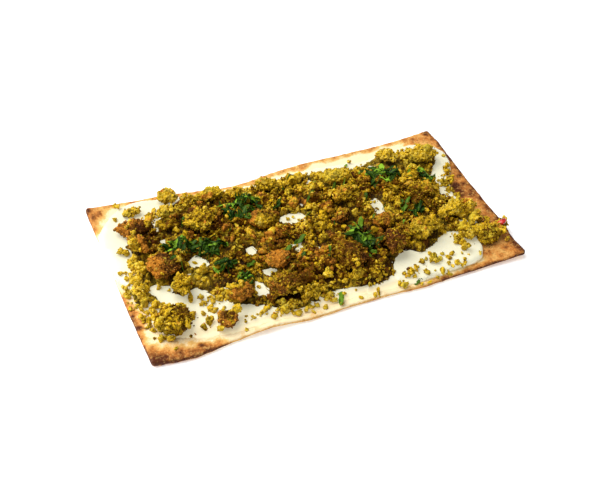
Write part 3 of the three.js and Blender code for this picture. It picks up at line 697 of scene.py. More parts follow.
class Net:
    """One material, and the ways that its nodes are added."""

    def __init__(self, name):
        self.material = bpy.data.materials.new(name)
        self.material.use_nodes = True
        self.tree = self.material.node_tree
        self.tree.nodes.clear()
        self.place = self.node("ShaderNodeTexCoord", outlet=3)

    def node(self, kind, choices=None, inputs=None, outlet=0):
        made = self.tree.nodes.new(kind)
        for key, value in (choices or {}).items():
            if key == "stops":
                self.stops(made.color_ramp, value)
            else:
                setattr(made, key, value)
        for key, value in (inputs or {}).items():
            if isinstance(value, Value):
                self.tree.links.new(value.socket, made.inputs[key])
            else:
                made.inputs[key].default_value = value
        return Value(self, made.outputs[outlet]) if made.outputs else None

    def stops(self, ramp, stops):
        while len(ramp.elements) < len(stops):
            ramp.elements.new(0.5)
        for element, (at, colour) in zip(ramp.elements, stops):
            element.position = at
            element.color = (*colour, 1)

    def ramp(self, factor, *stops):
        return self.node("ShaderNodeValToRGB", {"stops": stops}, {0: factor})

    def mark(self, name):
        return self.node("ShaderNodeAttribute", {"attribute_name": name}, outlet=2)

    def noise(self, millimetres, detail=2.0, roughness=0.5):
        """Noise from about 0.25 to 0.75, with swells this far apart."""
        inputs = {"Vector": self.place, "Scale": 1 / (millimetres * MM)}
        inputs |= {"Detail": detail, "Roughness": roughness}
        return self.node("ShaderNodeTexNoise", {}, inputs)

    def spots(self, millimetres, outlet=0):
        """Distance to strewn points this far apart, or with outlet 1 a colour for each."""
        inputs = {"Vector": self.place, "Scale": 1 / (millimetres * MM)}
        return self.node("ShaderNodeTexVoronoi", {}, inputs, outlet)

    def colour(self, rgb):
        """A colour of the settings with its alpha."""
        return (rgb[0], rgb[1], rgb[2], 1)

    def mix(self, factor, first, second):
        def given(value):
            return value if isinstance(value, Value) else self.colour(value)

        inputs = {0: factor, 6: given(first), 7: given(second)}
        return self.node("ShaderNodeMix", {"data_type": "RGBA"}, inputs, outlet=2)

    def bump(self, height, millimetres, strength):
        inputs = {"Strength": strength, "Distance": millimetres * MM, "Height": height}
        return self.node("ShaderNodeBump", {}, inputs)

    def surface(self, **sockets):
        named = {key.replace("_", " "): value for key, value in sockets.items()}
        shader = self.node("ShaderNodeBsdfPrincipled", {}, named)
        self.node("ShaderNodeOutputMaterial", {}, {0: shader})
        return self.material


def bread_material(look):
    net = Net("baked_bread")
    fine = net.noise(1.6, 3.0, 0.6)
    broad = net.noise(9.0, 3.0, 0.6)
    toast = net.mark("toast") + (broad - 0.5) * 0.32 + (fine - 0.5) * 0.36
    base = net.ramp(
        toast,
        (0.0, look.pale),
        (0.22, look.pale),
        (0.4, look.golden),
        (0.66, look.toasted),
        (0.95, look.dark),
    )
    browned_here = toast.step(0.36, 0.6)
    freckle = (1 - net.spots(3.1).step(0.12, 0.42)) * browned_here
    speck = (1 - net.spots(1.6).step(0.12, 0.4)) * browned_here
    base = net.mix((freckle * 0.42 + speck * 0.4).clamped(), base, look.dark)
    flour = net.noise(2.2, 4.0, 0.7).step(0.5, 0.66) * browned_here * (1 - toast.step(0.85, 1.1))
    base = net.mix(flour * 0.5, base, look.golden)
    grain = net.noise(0.9, 3.0, 0.65) * 0.6 + net.noise(3.2, 2.0, 0.5)
    return net.surface(
        Base_Color=base,
        Roughness=0.62 + (fine - 0.5) * 0.3,
        Specular_IOR_Level=0.18,
        Normal=net.bump(grain, 0.4, 0.9),
    )


def labneh_material(look):
    net = Net("labneh")
    slow = net.noise(14.0, 2.0, 0.5)
    grain = net.noise(1.1, 2.0, 0.5)
    cream = [c * share for c, share in zip(look.colour, (0.95, 0.94, 0.86))]
    base = net.mix((slow - 0.35).clamped() * 0.5, look.colour, cream)
    base = net.mix(net.mark("thin"), base, look.thin)
    return net.surface(
        Base_Color=base,
        Roughness=0.3 + (slow - 0.5) * 0.25,
        Subsurface_Weight=0.35,
        Subsurface_Radius=(2.2, 1.9, 1.5),
        Subsurface_Scale=MM,
        Specular_IOR_Level=0.5,
        Coat_Weight=0.25,
        Coat_Roughness=0.18,
        # Painted glow: the spread gives off a little of its own colour, which lifts the shadows on it
        Emission_Color=base,
        Emission_Strength=0.38,
        Normal=net.bump(grain * 0.4 + net.noise(4.5, 2.0, 0.5), 0.25, 0.5),
    )


def falafel_material(look):
    net = Net("falafel")
    fine = net.noise(0.8, 3.0, 0.6)
    middle = net.noise(2.6, 3.0, 0.6)
    broad = net.noise(7.0, 2.0, 0.5)
    granule = net.node("ShaderNodeSeparateColor", {}, {0: net.spots(1.4, 1)})
    # The tone is the inside's own lightness, with painted light and shade from the zones, gaps and relief
    # added to it
    tone = net.mark("tone") + (middle - 0.5) * 1.1 + (fine - 0.5) * 1.4 + (granule - 0.5) * 0.7
    brown = net.mark("crust") + (broad - 0.5) * 0.5 + (middle - 0.5) * 0.35
    inside = net.mix(tone.step(0.05, 1.1), look.deep, look.light)
    # Painted highlight: the lightest places go paler, towards the glint colour
    inside = net.mix(tone.step(0.95, 1.4) * 0.7, inside, look.glint)
    greener = net.noise(11.0, 2.0, 0.5).step(0.5, 0.68) * tone.step(0.2, 0.8)
    inside = net.mix(greener * 0.5, inside, look.lime)
    herb = (1 - net.spots(4.2).step(0.1, 0.2)) * 0.7
    inside = net.mix(herb, inside, look.herb)
    lightly = fine * 0.5 + middle * 0.5 + (net.mark("tone") - 0.45) * 0.3
    fried = net.mix(lightly.step(0.42, 0.6), look.crust, look.fried)
    base = net.mix(brown.step(0.42, 0.72), inside, fried)
    # Painted shade in the pits, the gaps between lumps and the undersides
    shade = (net.mark("pit") * (0.55 + fine * 0.8)).clamped()
    base = net.mix(shade, base, [c * 0.16 for c in look.crust])
    # Painted highlight: pale glints on the lit grains, away from the pits
    glint = fine.step(0.52, 0.68) * (1 - net.mark("pit")) * tone.step(0.4, 0.8)
    base = net.mix(glint.clamped() * 0.4, base, look.glint)
    return net.surface(
        Base_Color=base,
        Roughness=0.6 + (fine - 0.5) * 0.3,
        Specular_IOR_Level=0.08,
        Normal=net.bump(net.noise(0.55, 3.0, 0.7) + net.noise(1.5, 2.0, 0.6) * 0.8, 0.42, 0.9),
    )


def mint_material(look):
    net = Net("mint")
    pale = net.mark("pale")
    across = net.mark("across")
    vein = 1 - (across - 0.5) * (across - 0.5) * 40
    cloud = net.noise(1.8, 3.0, 0.6)
    base = net.mix((pale + (cloud - 0.5) * 0.4).clamped(), look.dark, look.pale)
    base = net.mix(vein.clamped() * 0.14, base, look.pale)
    return net.surface(
        Base_Color=base,
        Roughness=0.42 + (cloud - 0.5) * 0.3,
        Specular_IOR_Level=0.1,
        Normal=net.bump(net.noise(0.7, 2.0, 0.6), 0.16, 0.7),
    )


def chilli_material(look):
    net = Net("chilli")
    cloud = net.noise(2.2, 2.0, 0.5)
    base = net.mix(cloud.step(0.35, 0.75), look.chilli, [c * 0.45 for c in look.chilli])
    return net.surface(
        Base_Color=base,
        Roughness=0.25 + (cloud - 0.5) * 0.2,
        Coat_Weight=0.3,
        Coat_Roughness=0.15,
        Normal=net.bump(net.noise(1.0, 2.0, 0.5), 0.12, 0.6),
    )


# Pieces


class FLATBREAD_OT_bread(bpy.types.Operator):
    """Bakes the bread: an uneven top with blisters, and edges that have browned"""

    bl_idname = "flatbread.bread"
    bl_label = "Bread"

    def execute(self, context):
        look = settings("bread")
        bread = remade("flatbread", "baked_bread", look.net, 2)
        points, faced = places(bread), outward(bread)
        near, _, own = cells(points * [1, 1, 0.4], 7, 5)  # half of the cells hold a blister
        blister = np.clip(1 - near / 0.6, 0, 1) ** 1.5 * (own > 0.5) * np.abs(faced[:, 2])
        rise = blister * look.blister / MM
        rise += 0.16 * drift(points, 4.0, 7) + 0.22 * drift(points, 14.0, 8)
        edge = 1 - np.abs(faced[:, 2])
        layers = np.sin(points[:, 2] * 3.4 + 1.6 * drift(points * [1, 1, 0.2], 12, 9))
        rise += edge * (0.14 * layers - 0.1)
        points += faced * rise[:, None]
        points[:, 2] = np.maximum(points[:, 2], 0)
        put_back(bread, curled(points))
        mark(bread, "toast", self.toast(points, faced, blister))
        placed(bread, bread_material(look), "bread", "flatbread")
        ground.add("bread", bread)
        return {"FINISHED"}

    def toast(self, points, faced, blister):
        """How brown the bread is at each point."""
        x, y, z = points.T
        wander = 3.2 * drift(points, 13, 3) + 1.6 * drift(points, 5, 4)
        from_left, from_right, from_front = x - LEFT + wander, RIGHT - x + wander, y - FRONT + wander
        from_back = BACK - y - 6.6 * np.exp(-(((x + 35) / 38) ** 2)) + wander
        left = 0.5 * smoothed(9, 0, from_left) + 0.2 * smoothed(26, 6, from_left)
        left *= 1 - 0.85 * smoothed(-14, -2, y) * smoothed(56, 46, y)
        right = 0.26 * smoothed(8, 1, from_right) + 0.34 * smoothed(22, 6, from_right)
        right += 0.28 * smoothed(36, 16, from_right)
        front_share = 0.24 + 0.65 * smoothed(-88, -112, x) + 0.5 * smoothed(30, 110, x)
        browned_edges = [
            left,
            right,
            0.52 * smoothed(8, 0, from_back),
            smoothed(9, 0, from_front) * np.minimum(front_share, 0.85),
            0.3 * smoothed(23, 5, from_front) * smoothed(-70, -110, x),
            # Browner across the right front corner: partly baking, partly painted shade below the falafel
            0.55 * smoothed(104, 122, x) * smoothed(41, 13, from_front),
        ]
        for cx, cy, reach, strength in BROWNED_CORNERS:
            away = np.hypot(x - cx, y - cy) + wander
            browned_edges.append(strength * smoothed(reach, reach * 0.35, away))
        toast = np.maximum.reduce(browned_edges)
        baked = smoothed(0.2, 0.5, toast)
        toast += blister * (0.12 + 0.4 * baked) + 0.16 * baked * drift(points, 3.4, 6)
        side = smoothed(0.8, 0.3, np.abs(faced[:, 2]))
        toast += side * (0.18 + 0.25 * front_share * (y < -60) + 0.2 * (x > 140))
        low_left = smoothed(-92, -122, x) * smoothed(5, 2.4, z)
        low_right = 0.8 * smoothed(60, 110, x) * smoothed(3, 1.2, z)
        toast += side * 0.7 * np.maximum(low_left, low_right) * (y < -60)
        below = smoothed(0.3, 0.7, -faced[:, 2])
        return np.where(below > 0.5, 0.34 + 0.3 * drift(points, 16, 21), toast) + 0.02


class FLATBREAD_OT_labneh(bpy.types.Operator):
    """Spreads the labneh, with the marks of the spoon"""

    bl_idname = "flatbread.labneh"
    bl_label = "Labneh"

    def execute(self, context):
        look = settings("labneh")
        labneh = remade("labneh", "labneh_spread", look.net, 3)
        points = places(labneh)
        for x, y, across in LOOSE_CRUMBS:
            self.level(points, x, y, across)
        put_back(labneh, curled(points, SPREAD_SHARE))
        finished(labneh, "SMOOTH", factor=0.5, iterations=4)
        points, faced = places(labneh), outward(labneh)
        up = np.clip(faced[:, 2], 0, 1)
        floor = ground.heights(points)
        # Thin along the front edge as far as the lobe, so that the bread shows through
        thin = 0.96 * smoothed(10, 2, inland(points)) * smoothed(62, 40, points[:, 0])
        thin *= smoothed(-30, -50, points[:, 1])
        points[:, 2] -= np.maximum(points[:, 2] - floor, 0) * thin
        # The marks of the spoon run at a slant, and are faint on the rounded lobe at the front right
        lobe = mound(points, 84, -56, 44, 20, power=4)
        turned_points = points @ np.array([[0.94, 0.34, 0], [-0.34, 0.94, 0], [0, 0, 1]])
        swipe = drift(turned_points * [0.22, 1, 0.3], 5.5, 31) + 0.5 * drift(points, 9, 32)
        rise = swipe * (1 - 0.75 * lobe) * up * look.swipe / MM
        points += faced * rise[:, None]
        points[:, 2] -= 1.1 * np.clip(-faced[:, 2], 0, 1) + 0.7 * (1 - np.abs(faced[:, 2]))
        # At the left edge it has run over the bread
        over = smoothed(-138, -148, points[:, 0]) * smoothed(-14, 0, points[:, 1])
        over *= smoothed(58, 44, points[:, 1])
        points[:, 0] -= 2.6 * over
        points[:, 2] -= 0.9 * over * over
        put_back(labneh, points)
        mark(labneh, "thin", np.maximum(thin, 0.8 * mound(points, -112, -66, 30, 12)))
        placed(labneh, labneh_material(look), "labneh", "labneh")
        ground.add("labneh", labneh)
        return {"FINISHED"}

    def level(self, points, x, y, across):
        """Takes a crumb's lump out of the spread, before the crumb itself is laid there."""
        away = np.hypot(points[:, 0] - x, points[:, 1] - y)
        reach = across * 0.62 + 1.2
        ring = (away > reach) & (away < reach + 2.4)
        if ring.any():
            level = np.percentile(points[ring, 2], 80)
            inner = (away <= reach) & (points[:, 2] > level)
            points[inner, 2] = level


class FLATBREAD_OT_heap(bpy.types.Operator):
    """Makes the heap's own core of crumbled falafel"""

    bl_idname = "flatbread.heap"
    bl_label = "Falafel heap"

    def execute(self, context):
        look = settings("falafel")
        grain = look.grain / MM
        heap = remade("falafel_crumble", "falafel_heap", look.heap_net, 1)
        points, faced = places(heap), outward(heap)
        bare = bareness(points + 2.4 * drifts(points, 4, 45) + 2.6 * drifts(points, 9, 55))
        floor = ground.heights(points)
        gap, near, lump = lumps(points)
        share = 1.02 + 0.6 * (lump - 0.5) * (1 - gap) - 0.4 * near - 0.5 * bare**0.7
        share *= 0.25 + 0.75 * smoothed(0, 8, inland(points) + 2.5 * drift(points, 7, 48))
        points[:, 2] -= np.maximum(points[:, 2] - floor, 0) * (1 - np.clip(share, 0.1, 1))
        points[:, 2] -= (points[:, 2] - floor + 0.8).clip(0) * smoothed(0.8, 0.97, bare)
        height, pit, own = crumbly(points, grain, 41)
        points += faced * (height * grain * (1 - 0.8 * bare) - 0.3)[:, None]
        points[:, 2] -= 2.3 * np.clip(-faced[:, 2], 0, 1)
        put_back(heap, points)
        brown, light = browned(points)
        mark(heap, "tone", 0.47 + light + 0.5 * (lump - 0.5) + 0.45 * (own - 0.5))
        crusted = 0.55 * smoothed(0.7, 0.95, lump * 5.37 % 1)  # about one lump in five
        mark(heap, "crust", 0.2 + brown + crusted + 0.3 * drift(points, 9, 44) + 0.3 * (own - 0.5))
        # Painted shade: darker in the pits, in the gaps between lumps, a little over the whole core, and more
        # in the darker zones
        mark(heap, "pit", np.maximum(pit, 0.8 * gap) + 0.2 + 0.25 * np.clip(-light, 0, 1))
        placed(heap, falafel_material(look), "falafel_crumb", "falafel_crumble")
        ground.add("falafel", heap)
        return {"FINISHED"}


class FLATBREAD_OT_chunks(bpy.types.Operator):
    """Breaks the large pieces of falafel, each with its own share of crust"""

    bl_idname = "flatbread.chunks"
    bl_label = "Large falafel pieces"

    def execute(self, context):
        look = settings("falafel")
        grain = look.grain / MM
        material = bpy.data.materials["falafel"]
        random = np.random.default_rng(51)
        for number, (node, (crusted, light)) in enumerate(zip(CHUNK_NODES, CHUNK_LOOKS)):
            chunk = remade(node, node.replace("chunk", "piece"), look.chunk_net, 2)
            points, faced = places(chunk), outward(chunk)
            crust_side = random.normal(size=3) + [0, 0, 0.8]
            crust_side /= np.linalg.norm(crust_side)
            broad = faced @ crust_side
            height, pit, own = crumbly(points, grain, 60 + number)
            big, beyond, block = cells(points, 6.5, 160 + number)
            lighter = browned(points)[1]
            height += 0.75 * (block - 0.5) * smoothed(0, 0.3, beyond - big) - 0.3 * big
            crust = crusted * 0.95 - 0.1 + 0.3 * broad + 0.4 * drift(points, 5, 90 + number)
            even = smoothed(0.4, 0.8, crust)
            rise = height * grain * (1.5 - 0.25 * even) + 1.2 * drift(points, 10, 130 + number)
            points += faced * (rise - 0.5)[:, None]
            # What rises to the last 2 mm under the limit is pressed flatter, and stays under it
            above = np.maximum(points[:, 2] - TALLEST + 2, 0)
            points[:, 2] += 2 * (1 - np.exp(-above / 2)) - above
            put_back(chunk, points)
            tone = light * 0.85 + 0.12 + 0.65 * lighter + 0.4 * (own - 0.5) + 0.3 * (block - 0.5)
            mark(chunk, "tone", tone)
            mark(chunk, "crust", crust + 0.5 * (own - 0.5) + 0.3 * (block - 0.5))
            # Painted shade: darker in the pits and towards the bottom of each piece, where it meets what is
            # under it
            low = points[:, 2].min()
            under = smoothed(0.5, 0.05, (points[:, 2] - low) / (points[:, 2].max() - low))
            mark(chunk, "pit", np.maximum(pit * 0.85, 0.7 * under))
            placed(chunk, material, "falafel_crust" if crusted > 0.45 else "falafel_crumb", node)
            ground.add("piece", chunk)
        return {"FINISHED"}


class FLATBREAD_OT_crumbs(bpy.types.Operator):
    """Strews clumps, crumbs and fine crumbs over the heap, and single ones over the spread"""

    bl_idname = "flatbread.crumbs"
    bl_label = "Falafel crumbs"

    def execute(self, context):
        look = settings("falafel")
        random = np.random.default_rng(71)
        self.forms = {
            kind: [template(kind, parts, grain, seed + k, stretch, ragged) for k in range(count)]
            for kind, (count, parts, grain, seed, stretch, ragged, *_) in CRUMB_KINDS.items()
        }
        clumps = self.over_heap(random, "clump", look.clumps)
        clumps += self.apart(random, "clump", JOINING_CLUMPS)
        self.keep(clumps, "falafel_clumps_1", "falafel_clumps_2")
        crumbs = self.over_heap(random, "crumb", look.crumbs)
        crumbs += self.apart(random, "crumb", LOOSE_CRUMBS + SMALL_LOOSE_CRUMBS)
        self.keep(crumbs, "falafel_crumbs_1", "falafel_crumbs_2")
        small = self.over_heap(random, "small", look.small)
        small += self.apart(random, "small", self.fields(random))
        self.keep(small, "falafel_small_crumbs")
        fines = self.over_heap(random, "fine", look.fines)
        self.keep(fines, "falafel_fine_crumbs", carries=False)
        return {"FINISHED"}

    def keep(self, parts, *names, carries=True):
        """Shares the copies out over these pieces; what is strewn later lies on pieces that carry."""
        for k, name in enumerate(names):
            placed(joined(name, parts[k :: len(names)]), bpy.data.materials["falafel"], "falafel_crumb")
        for name in names if carries else []:
            ground.add("falafel", bpy.data.objects[name])

    def over_heap(self, random, kind, count):
        """Crumbs of one kind, strewn over the falafel and a little way out from it."""
        least, most, stray = CRUMB_KINDS[kind][-3:]
        low, high = (np.array(corner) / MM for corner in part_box("falafel_crumble"))
        corner = low[:2] - 5
        steps = np.ceil(high[:2] - corner + 5).astype(int)
        squares = np.stack(np.indices(steps), axis=-1).reshape(-1, 2) + corner
        gaps = lumps(np.column_stack([squares, 0 * squares[:, 0]]))[0].reshape(steps)
        relief = self.relief(corner, steps)
        parts = []
        tries = 0
        while len(parts) < count and tries < count * 12:
            tries += 1
            x, y = random.uniform(low[0] - stray, high[0] + stray), random.uniform(low[1], high[1])
            below, top = ground.under(x, y)
            if below is None or (below == "piece" and random.random() < 0.8):
                continue
            if below not in ("falafel", "piece"):
                turn = random.uniform(0, 2 * math.pi)
                reach = random.uniform(0, stray)
                beside, _ = ground.under(x + reach * math.cos(turn), y + reach * math.sin(turn))
                if beside != "falafel" or random.random() > 0.5:
                    continue
            size = least + (most - least) * random.random() ** 1.8
            spot = np.array([[x, y, top]])
            gap = gaps[int(x - corner[0]), int(y - corner[1])] if below == "falafel" else 0
            if self.left_out(random, spot, size, gap):
                continue
            brown, light = browned(spot)
            patch = drift(spot, 12, 44)[0]
            crust = 0.2 + brown[0] + 0.36 * patch + random.normal() * 0.26
            # Painted shade: crumbs that lie in the gaps between lumps are darker
            tone = 0.72 + light[0] + random.normal() * 0.28 - 0.4 * gap
            # Painted light and shade: crumbs that stand above the places round them are lighter, those below
            # darker
            stands = relief[int((x - corner[0]) / RELIEF_STEP), int((y - corner[1]) / RELIEF_STEP)]
            tone += 0.1 * min(max(stands, -4), 2)
            if top < LOW_PLACE:
                tone = max(tone, LOW_TONE)
            centre = x, y, min(top + size * random.uniform(-0.12, 0.3), TALLEST - size * 0.75)
            form = self.forms[kind][random.integers(len(self.forms[kind]))]
            parts.append(laid(form, random, centre, size, crust, tone))
        return parts

    def left_out(self, random, spot, size, gap):
        """Whether nothing is laid at a place: each line is one reason, tried in turn."""
        x, y, top = spot[0]
        bare = bareness(spot)[0] > (0.7 if size < 3.4 else 0.3)
        return (
            (bare and (size > 4 or random.random() < 0.8))
            or (size > 2.2 and top > 15 and random.random() < 0.6)
            or (size < 6 and drift(spot, 13, 49)[0] + random.normal() * 0.25 < -0.1)
            or (size > 2.6 and ground.under(x, y - 3.5)[0] != "falafel" and random.random() < 0.7)
            or math.hypot(x - CHILLI_SPOT[0], y - CHILLI_SPOT[1]) < CHILLI_ROOM
            or random.random() < 0.5 * gap
        )

    def relief(self, corner, steps):
        """How far each place stands above the mean of those round it."""
        across, along = (int(step / RELIEF_STEP) + 1 for step in steps)
        net = corner + RELIEF_STEP * np.stack(np.indices((across, along)), axis=-1).reshape(-1, 2)
        tops = ground.heights(net).reshape(across, along)
        padded = np.pad(tops, RELIEF_REACH, mode="edge")
        window = 2 * RELIEF_REACH + 1
        shifted = [padded[i : i + across, j : j + along] for i, j in np.ndindex(window, window)]
        return tops - sum(shifted) / len(shifted)

    def apart(self, random, kind, spots):
        """The clumps and crumbs that lie at places of their own, beside the heap."""
        parts = []
        for x, y, across in spots:
            below, top = ground.under(x, y)
            if below is None:
                continue
            form = self.forms[kind][random.integers(len(self.forms[kind]))]
            centre = x, y, min(top + across * 0.28, TALLEST - across * 0.75)
            light = browned(np.array([[x, y, top]]))[1][0]
            crust = random.uniform(0, 0.35)
            tone = random.uniform(0.72, 1.05) + 0.5 * max(light, -0.2)
            parts.append(laid(form, random, centre, across, crust, tone))
        return parts

    def fields(self, random):
        """Places and sizes of the crumbs that are strewn thickly beside the heap."""
        spots = []
        for x, y, across, along, count in CRUMB_FIELDS:
            for _ in range(count):
                angle = random.uniform(0, 2 * math.pi)
                out = random.random() ** 0.7
                size = 1.6 + 3.2 * random.random() ** 2
                spots.append((x + across * out * math.cos(angle), y + along * out * math.sin(angle), size))
        return spots


class FLATBREAD_OT_mint(bpy.types.Operator):
    """Strews the shredded mint, in piles and singly"""

    bl_idname = "flatbread.mint"
    bl_label = "Mint"

    def execute(self, context):
        look = settings("mint")
        material = mint_material(look)
        random = np.random.default_rng(81)
        self.forms = [self.shred(*form, 500 + k) for k, form in enumerate(SHRED_FORMS)]
        for node in PILE_NODES:
            low, high = (np.array(corner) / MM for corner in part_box(node))
            parts = self.pile(random, low, high, look.width)
            placed(joined(node.replace("pile", "heap"), parts), material, "mint", node)
        flecks = []
        for x, y, length, degrees, pale in MINT_FLECKS:
            form = self.forms[random.integers(len(self.forms))]
            turn = math.radians(degrees)
            width = 0.8 * min(1, length / 8)
            flecks.append(self.strip(random, form, x, y, length, width, turn, 0.7, 0.8 * pale, 0.3))
        placed(joined("mint_flecks", flecks), material, "mint")
        for node in SHRED_NODES:
            low, high = (np.array(corner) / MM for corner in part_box(node))
            parts = self.single(random, low, high, look.width)
            placed(joined(node.replace("shred", "strip"), parts), material, "mint", node)
        return {"FINISHED"}

    def shred(self, broad, curl, twist, seed):
        """A cut strip of leaf 10 mm long: uneven at its edges, crumpled and curled."""
        ob = primitive(
            bpy.ops.mesh.primitive_grid_add, "shred", x_subdivisions=13, y_subdivisions=5, size=10 * MM
        )
        with editing():
            bpy.ops.transform.resize(value=(1, broad / 10, 1))
        points = places(ob)
        along = points[:, 0] / 5
        across = points[:, 1] / broad + 0.5
        edge = np.round(across * 2 - 1)
        uneven = drift(np.stack([points[:, 0], 9 * edge, 0 * edge + seed], axis=1), 2.2, seed)
        points[:, 1] *= np.clip(1.06 - np.abs(along) ** 4 * 0.8 + 0.3 * uneven, 0.12, 1.3)
        points[:, 2] = 0.16 * np.abs(points[:, 1]) + 0.45 * drift(points, 2.4, seed)
        put_back(ob, points)
        mark(ob, "across", across)
        for method, axis, degrees in (("TWIST", "X", twist), ("BEND", "Y", curl)):
            if degrees:
                angle = math.radians(degrees)
                finished(ob, "SIMPLE_DEFORM", deform_method=method, deform_axis=axis, angle=angle)
        finished(ob, "SOLIDIFY", thickness=0.22 * MM, offset=0)
        finished(ob, "TRIANGULATE")
        across = np.empty(len(ob.data.vertices), np.float32)
        ob.data.attributes["across"].data.foreach_get("value", across)
        points = places(ob)
        return taken(ob, points - points.mean(0), across=across)

    def strip(self, random, form, x, y, length, width, turn, lift, pale, lean=0.5):
        """One copy of a shred, bent to lie over what is under it."""
        points = form["points"] * [length / 10, width, min(length / 10, 1.2)]
        points = points @ np.array(Matrix.Rotation(random.normal() * lean, 3, "X")).T
        cos, sin = math.cos(turn), math.sin(turn)
        flat = points @ np.array([[cos, sin, 0], [-sin, cos, 0], [0, 0, 1]])
        stations = np.linspace(-0.5, 0.5, 7) * length
        tops = np.array([ground.under(x + s * cos, y + s * sin)[1] for s in stations])
        upper = np.maximum(tops, (np.roll(tops, 1) + np.roll(tops, -1)) / 2)
        upper[0], upper[-1] = tops[0], tops[-1]
        middle = np.convolve(np.pad(upper, 1, mode="edge"), [0.25, 0.5, 0.25], mode="valid")
        middle = np.maximum(middle, tops - 0.6)
        height = np.interp(points[:, 0], stations, middle)
        flat += np.column_stack([np.full(len(flat), x), np.full(len(flat), y), height + lift])
        return {**form, "points": flat, "pale": np.full(len(flat), pale)}

    def pile(self, random, low, high, width):
        """The strips of one pile, heaped highest in its middle."""
        middle, half = (low + high) / 2, (high - low) / 2
        parts = []
        count = int(round(8 + half[0] * half[1] * 0.2))
        for k in range(count):
            spread = math.sqrt(random.random()) * 0.9
            angle = random.uniform(0, 2 * math.pi)
            x = middle[0] + half[0] * spread * math.cos(angle)
            y = middle[1] + half[1] * spread * math.sin(angle)
            length = random.uniform(0.6, 1.15) * min(13, 0.9 * (half[0] + half[1]))
            lift = 0.4 + 2.8 * (k / count) * (1.1 - spread)
            pale = random.uniform(0.3, 0.85) if random.random() < 0.2 else random.uniform(0, 0.08)
            form = self.forms[random.integers(len(self.forms))]
            turn = random.uniform(0, math.pi)
            breadth = width * random.uniform(0.65, 1.25)
            parts.append(self.strip(random, form, x, y, length, breadth, turn, lift, pale))
        return parts

    def single(self, random, low, high, width):
        """One strip along the diagonal of its solid's box."""
        middle, size = (low + high) / 2, high - low
        length = math.hypot(size[0], size[1]) * 0.98
        turn = math.atan2(size[1], size[0])
        pale = random.choice([0.05, 0.2, 0.35])
        form = self.forms[random.integers(2)]
        return [self.strip(random, form, *middle[:2], length, width, turn, 0.9, pale, 0.3)]


class FLATBREAD_OT_chilli(bpy.types.Operator):
    """Cuts the piece of red chilli at the right edge"""

    bl_idname = "flatbread.chilli"
    bl_label = "Chilli"

    def execute(self, context):
        look = settings("mint")
        low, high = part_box("chilli_piece")
        middle, size = (low + high) / 2, high - low
        chilli = primitive(
            bpy.ops.mesh.primitive_uv_sphere_add, "chilli_slice", segments=24, ring_count=14, radius=0.5
        )
        with editing():
            bpy.ops.transform.resize(value=(size.x * 1.5, 5.0 * MM, 4.0 * MM))
            bpy.ops.transform.translate(value=middle + Vector((-1.4, -2.0, 0.9)) * MM)
        points = places(chilli)
        along = (points[:, 0] - middle.x / MM) / (size.x / MM) * 2
        points[:, 1] += 0.9 * along + 0.5 * along**2 + 0.25 * drift(points, 2.4, 91)
        points[:, 2] += 0.3 * drift(points, 3.0, 92) - 0.5 * along**2 + 0.8
        put_back(chilli, points)
        placed(chilli, chilli_material(look), "chilli", "chilli_piece")
        return {"FINISHED"}


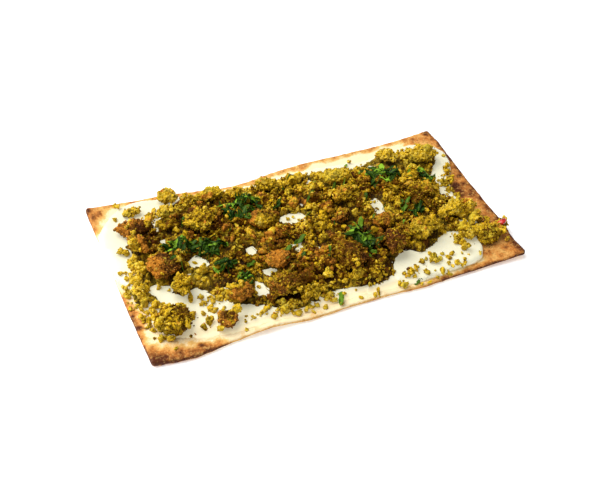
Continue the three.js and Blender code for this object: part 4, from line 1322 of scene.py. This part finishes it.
class FLATBREAD_OT_stage(bpy.types.Operator):
    """Sets the pale floor, the soft light and the camera"""

    bl_idname = "flatbread.stage"
    bl_label = "Stage"

    def execute(self, context):
        look = settings("studio")
        scene = context.scene
        floor = primitive(
            bpy.ops.mesh.primitive_plane_add, "floor", size=6, location=(0, 0, -0.0001)
        )
        net = Net("floor")
        painted(
            floor,
            net.surface(
                Base_Color=net.colour(look.floor),
                Roughness=0.9,
                Specular_IOR_Level=0.0,
                Emission_Color=net.colour(look.floor),
                Emission_Strength=0.3,
            ),
        )

        world = bpy.data.worlds.new("studio")
        world.use_nodes = True
        sky = world.node_tree.nodes["Background"].inputs
        sky["Color"].default_value = (1, 1, 1, 1)
        sky["Strength"].default_value = look.fill
        scene.world = world
        self.light(scene, "key", look.key, 1.8, (-0.78, 0.5, 1.2), (1.0, 0.99, 0.965))
        self.light(scene, "top", look.top, 2.2, (0.1, -0.1, 1.7), (1.0, 1.0, 1.0))

        yaw, pitch, roll = (math.radians(angle) for angle in CAMERA_ANGLES)
        forward = Vector(
            (math.sin(yaw) * math.cos(pitch), math.cos(yaw) * math.cos(pitch), -math.sin(pitch))
        )
        level = forward.cross(Vector((0, 0, 1))).normalized()
        upward = level.cross(forward)
        right = level * math.cos(roll) + upward * math.sin(roll)
        top = upward * math.cos(roll) - level * math.sin(roll)
        lens = bpy.data.cameras.new("camera")
        lens.lens = look.lens
        lens.sensor_width = 36
        lens.clip_start, lens.clip_end = 0.02, 20
        camera = bpy.data.objects.new("camera", lens)
        scene.collection.objects.link(camera)
        turn = Matrix((right, top, -forward)).transposed().to_4x4()
        camera.matrix_world = Matrix.Translation(CAMERA_PLACE) @ turn
        scene.camera = camera
        scene.view_settings.view_transform = "Standard"
        scene.view_settings.look = "None"
        scene.view_settings.exposure = 0
        return {"FINISHED"}

    def light(self, scene, name, strength, size, place, colour):
        """A round soft light that faces the middle of the flatbread."""
        lamp = bpy.data.lights.new(name, "AREA")
        lamp.shape = "DISK"
        lamp.size = size
        lamp.energy = strength
        lamp.color = colour
        ob = bpy.data.objects.new(name, lamp)
        scene.collection.objects.link(ob)
        ob.location = place
        ob.rotation_euler = (-ob.location).to_track_quat("-Z", "Y").to_euler()


class FLATBREAD_PT_panel(bpy.types.Panel):
    """The flatbread's settings and the steps that make it"""

    bl_idname = "FLATBREAD_PT_panel"
    bl_label = "Flatbread"
    bl_space_type = "VIEW_3D"
    bl_region_type = "UI"
    bl_category = "Flatbread"

    def draw(self, context):
        for group in GROUPS:
            box = self.layout.box()
            box.label(text=group.title())
            for key in settings(group).bl_rna.properties.keys():
                if key not in ("rna_type", "name"):
                    box.prop(settings(group), key)
        for operator in OPERATORS:
            self.layout.operator(operator.bl_idname)


GROUPS = {
    "bread": FLATBREAD_PG_bread,
    "labneh": FLATBREAD_PG_labneh,
    "falafel": FLATBREAD_PG_falafel,
    "mint": FLATBREAD_PG_mint,
    "studio": FLATBREAD_PG_studio,
}
OPERATORS = (
    FLATBREAD_OT_bread,
    FLATBREAD_OT_labneh,
    FLATBREAD_OT_heap,
    FLATBREAD_OT_chunks,
    FLATBREAD_OT_crumbs,
    FLATBREAD_OT_mint,
    FLATBREAD_OT_chilli,
    FLATBREAD_OT_stage,
)


def register():
    for group in GROUPS.values():
        bpy.utils.register_class(group)
    for operator in OPERATORS:
        bpy.utils.register_class(operator)
    bpy.utils.register_class(FLATBREAD_PT_panel)
    for name, group in GROUPS.items():
        setattr(bpy.types.Scene, "flatbread_" + name, PointerProperty(type=group))


def unregister():
    for name in GROUPS:
        delattr(bpy.types.Scene, "flatbread_" + name)
    bpy.utils.unregister_class(FLATBREAD_PT_panel)
    for operator in reversed(OPERATORS):
        bpy.utils.unregister_class(operator)
    for group in reversed(GROUPS.values()):
        bpy.utils.unregister_class(group)


def main():
    register()
    bpy.ops.flatbread.bread()
    bpy.ops.flatbread.labneh()
    bpy.ops.flatbread.heap()
    bpy.ops.flatbread.chunks()
    bpy.ops.flatbread.crumbs()
    bpy.ops.flatbread.mint()
    bpy.ops.flatbread.chilli()
    bpy.ops.flatbread.stage()


if __name__ == "__main__":
    main()
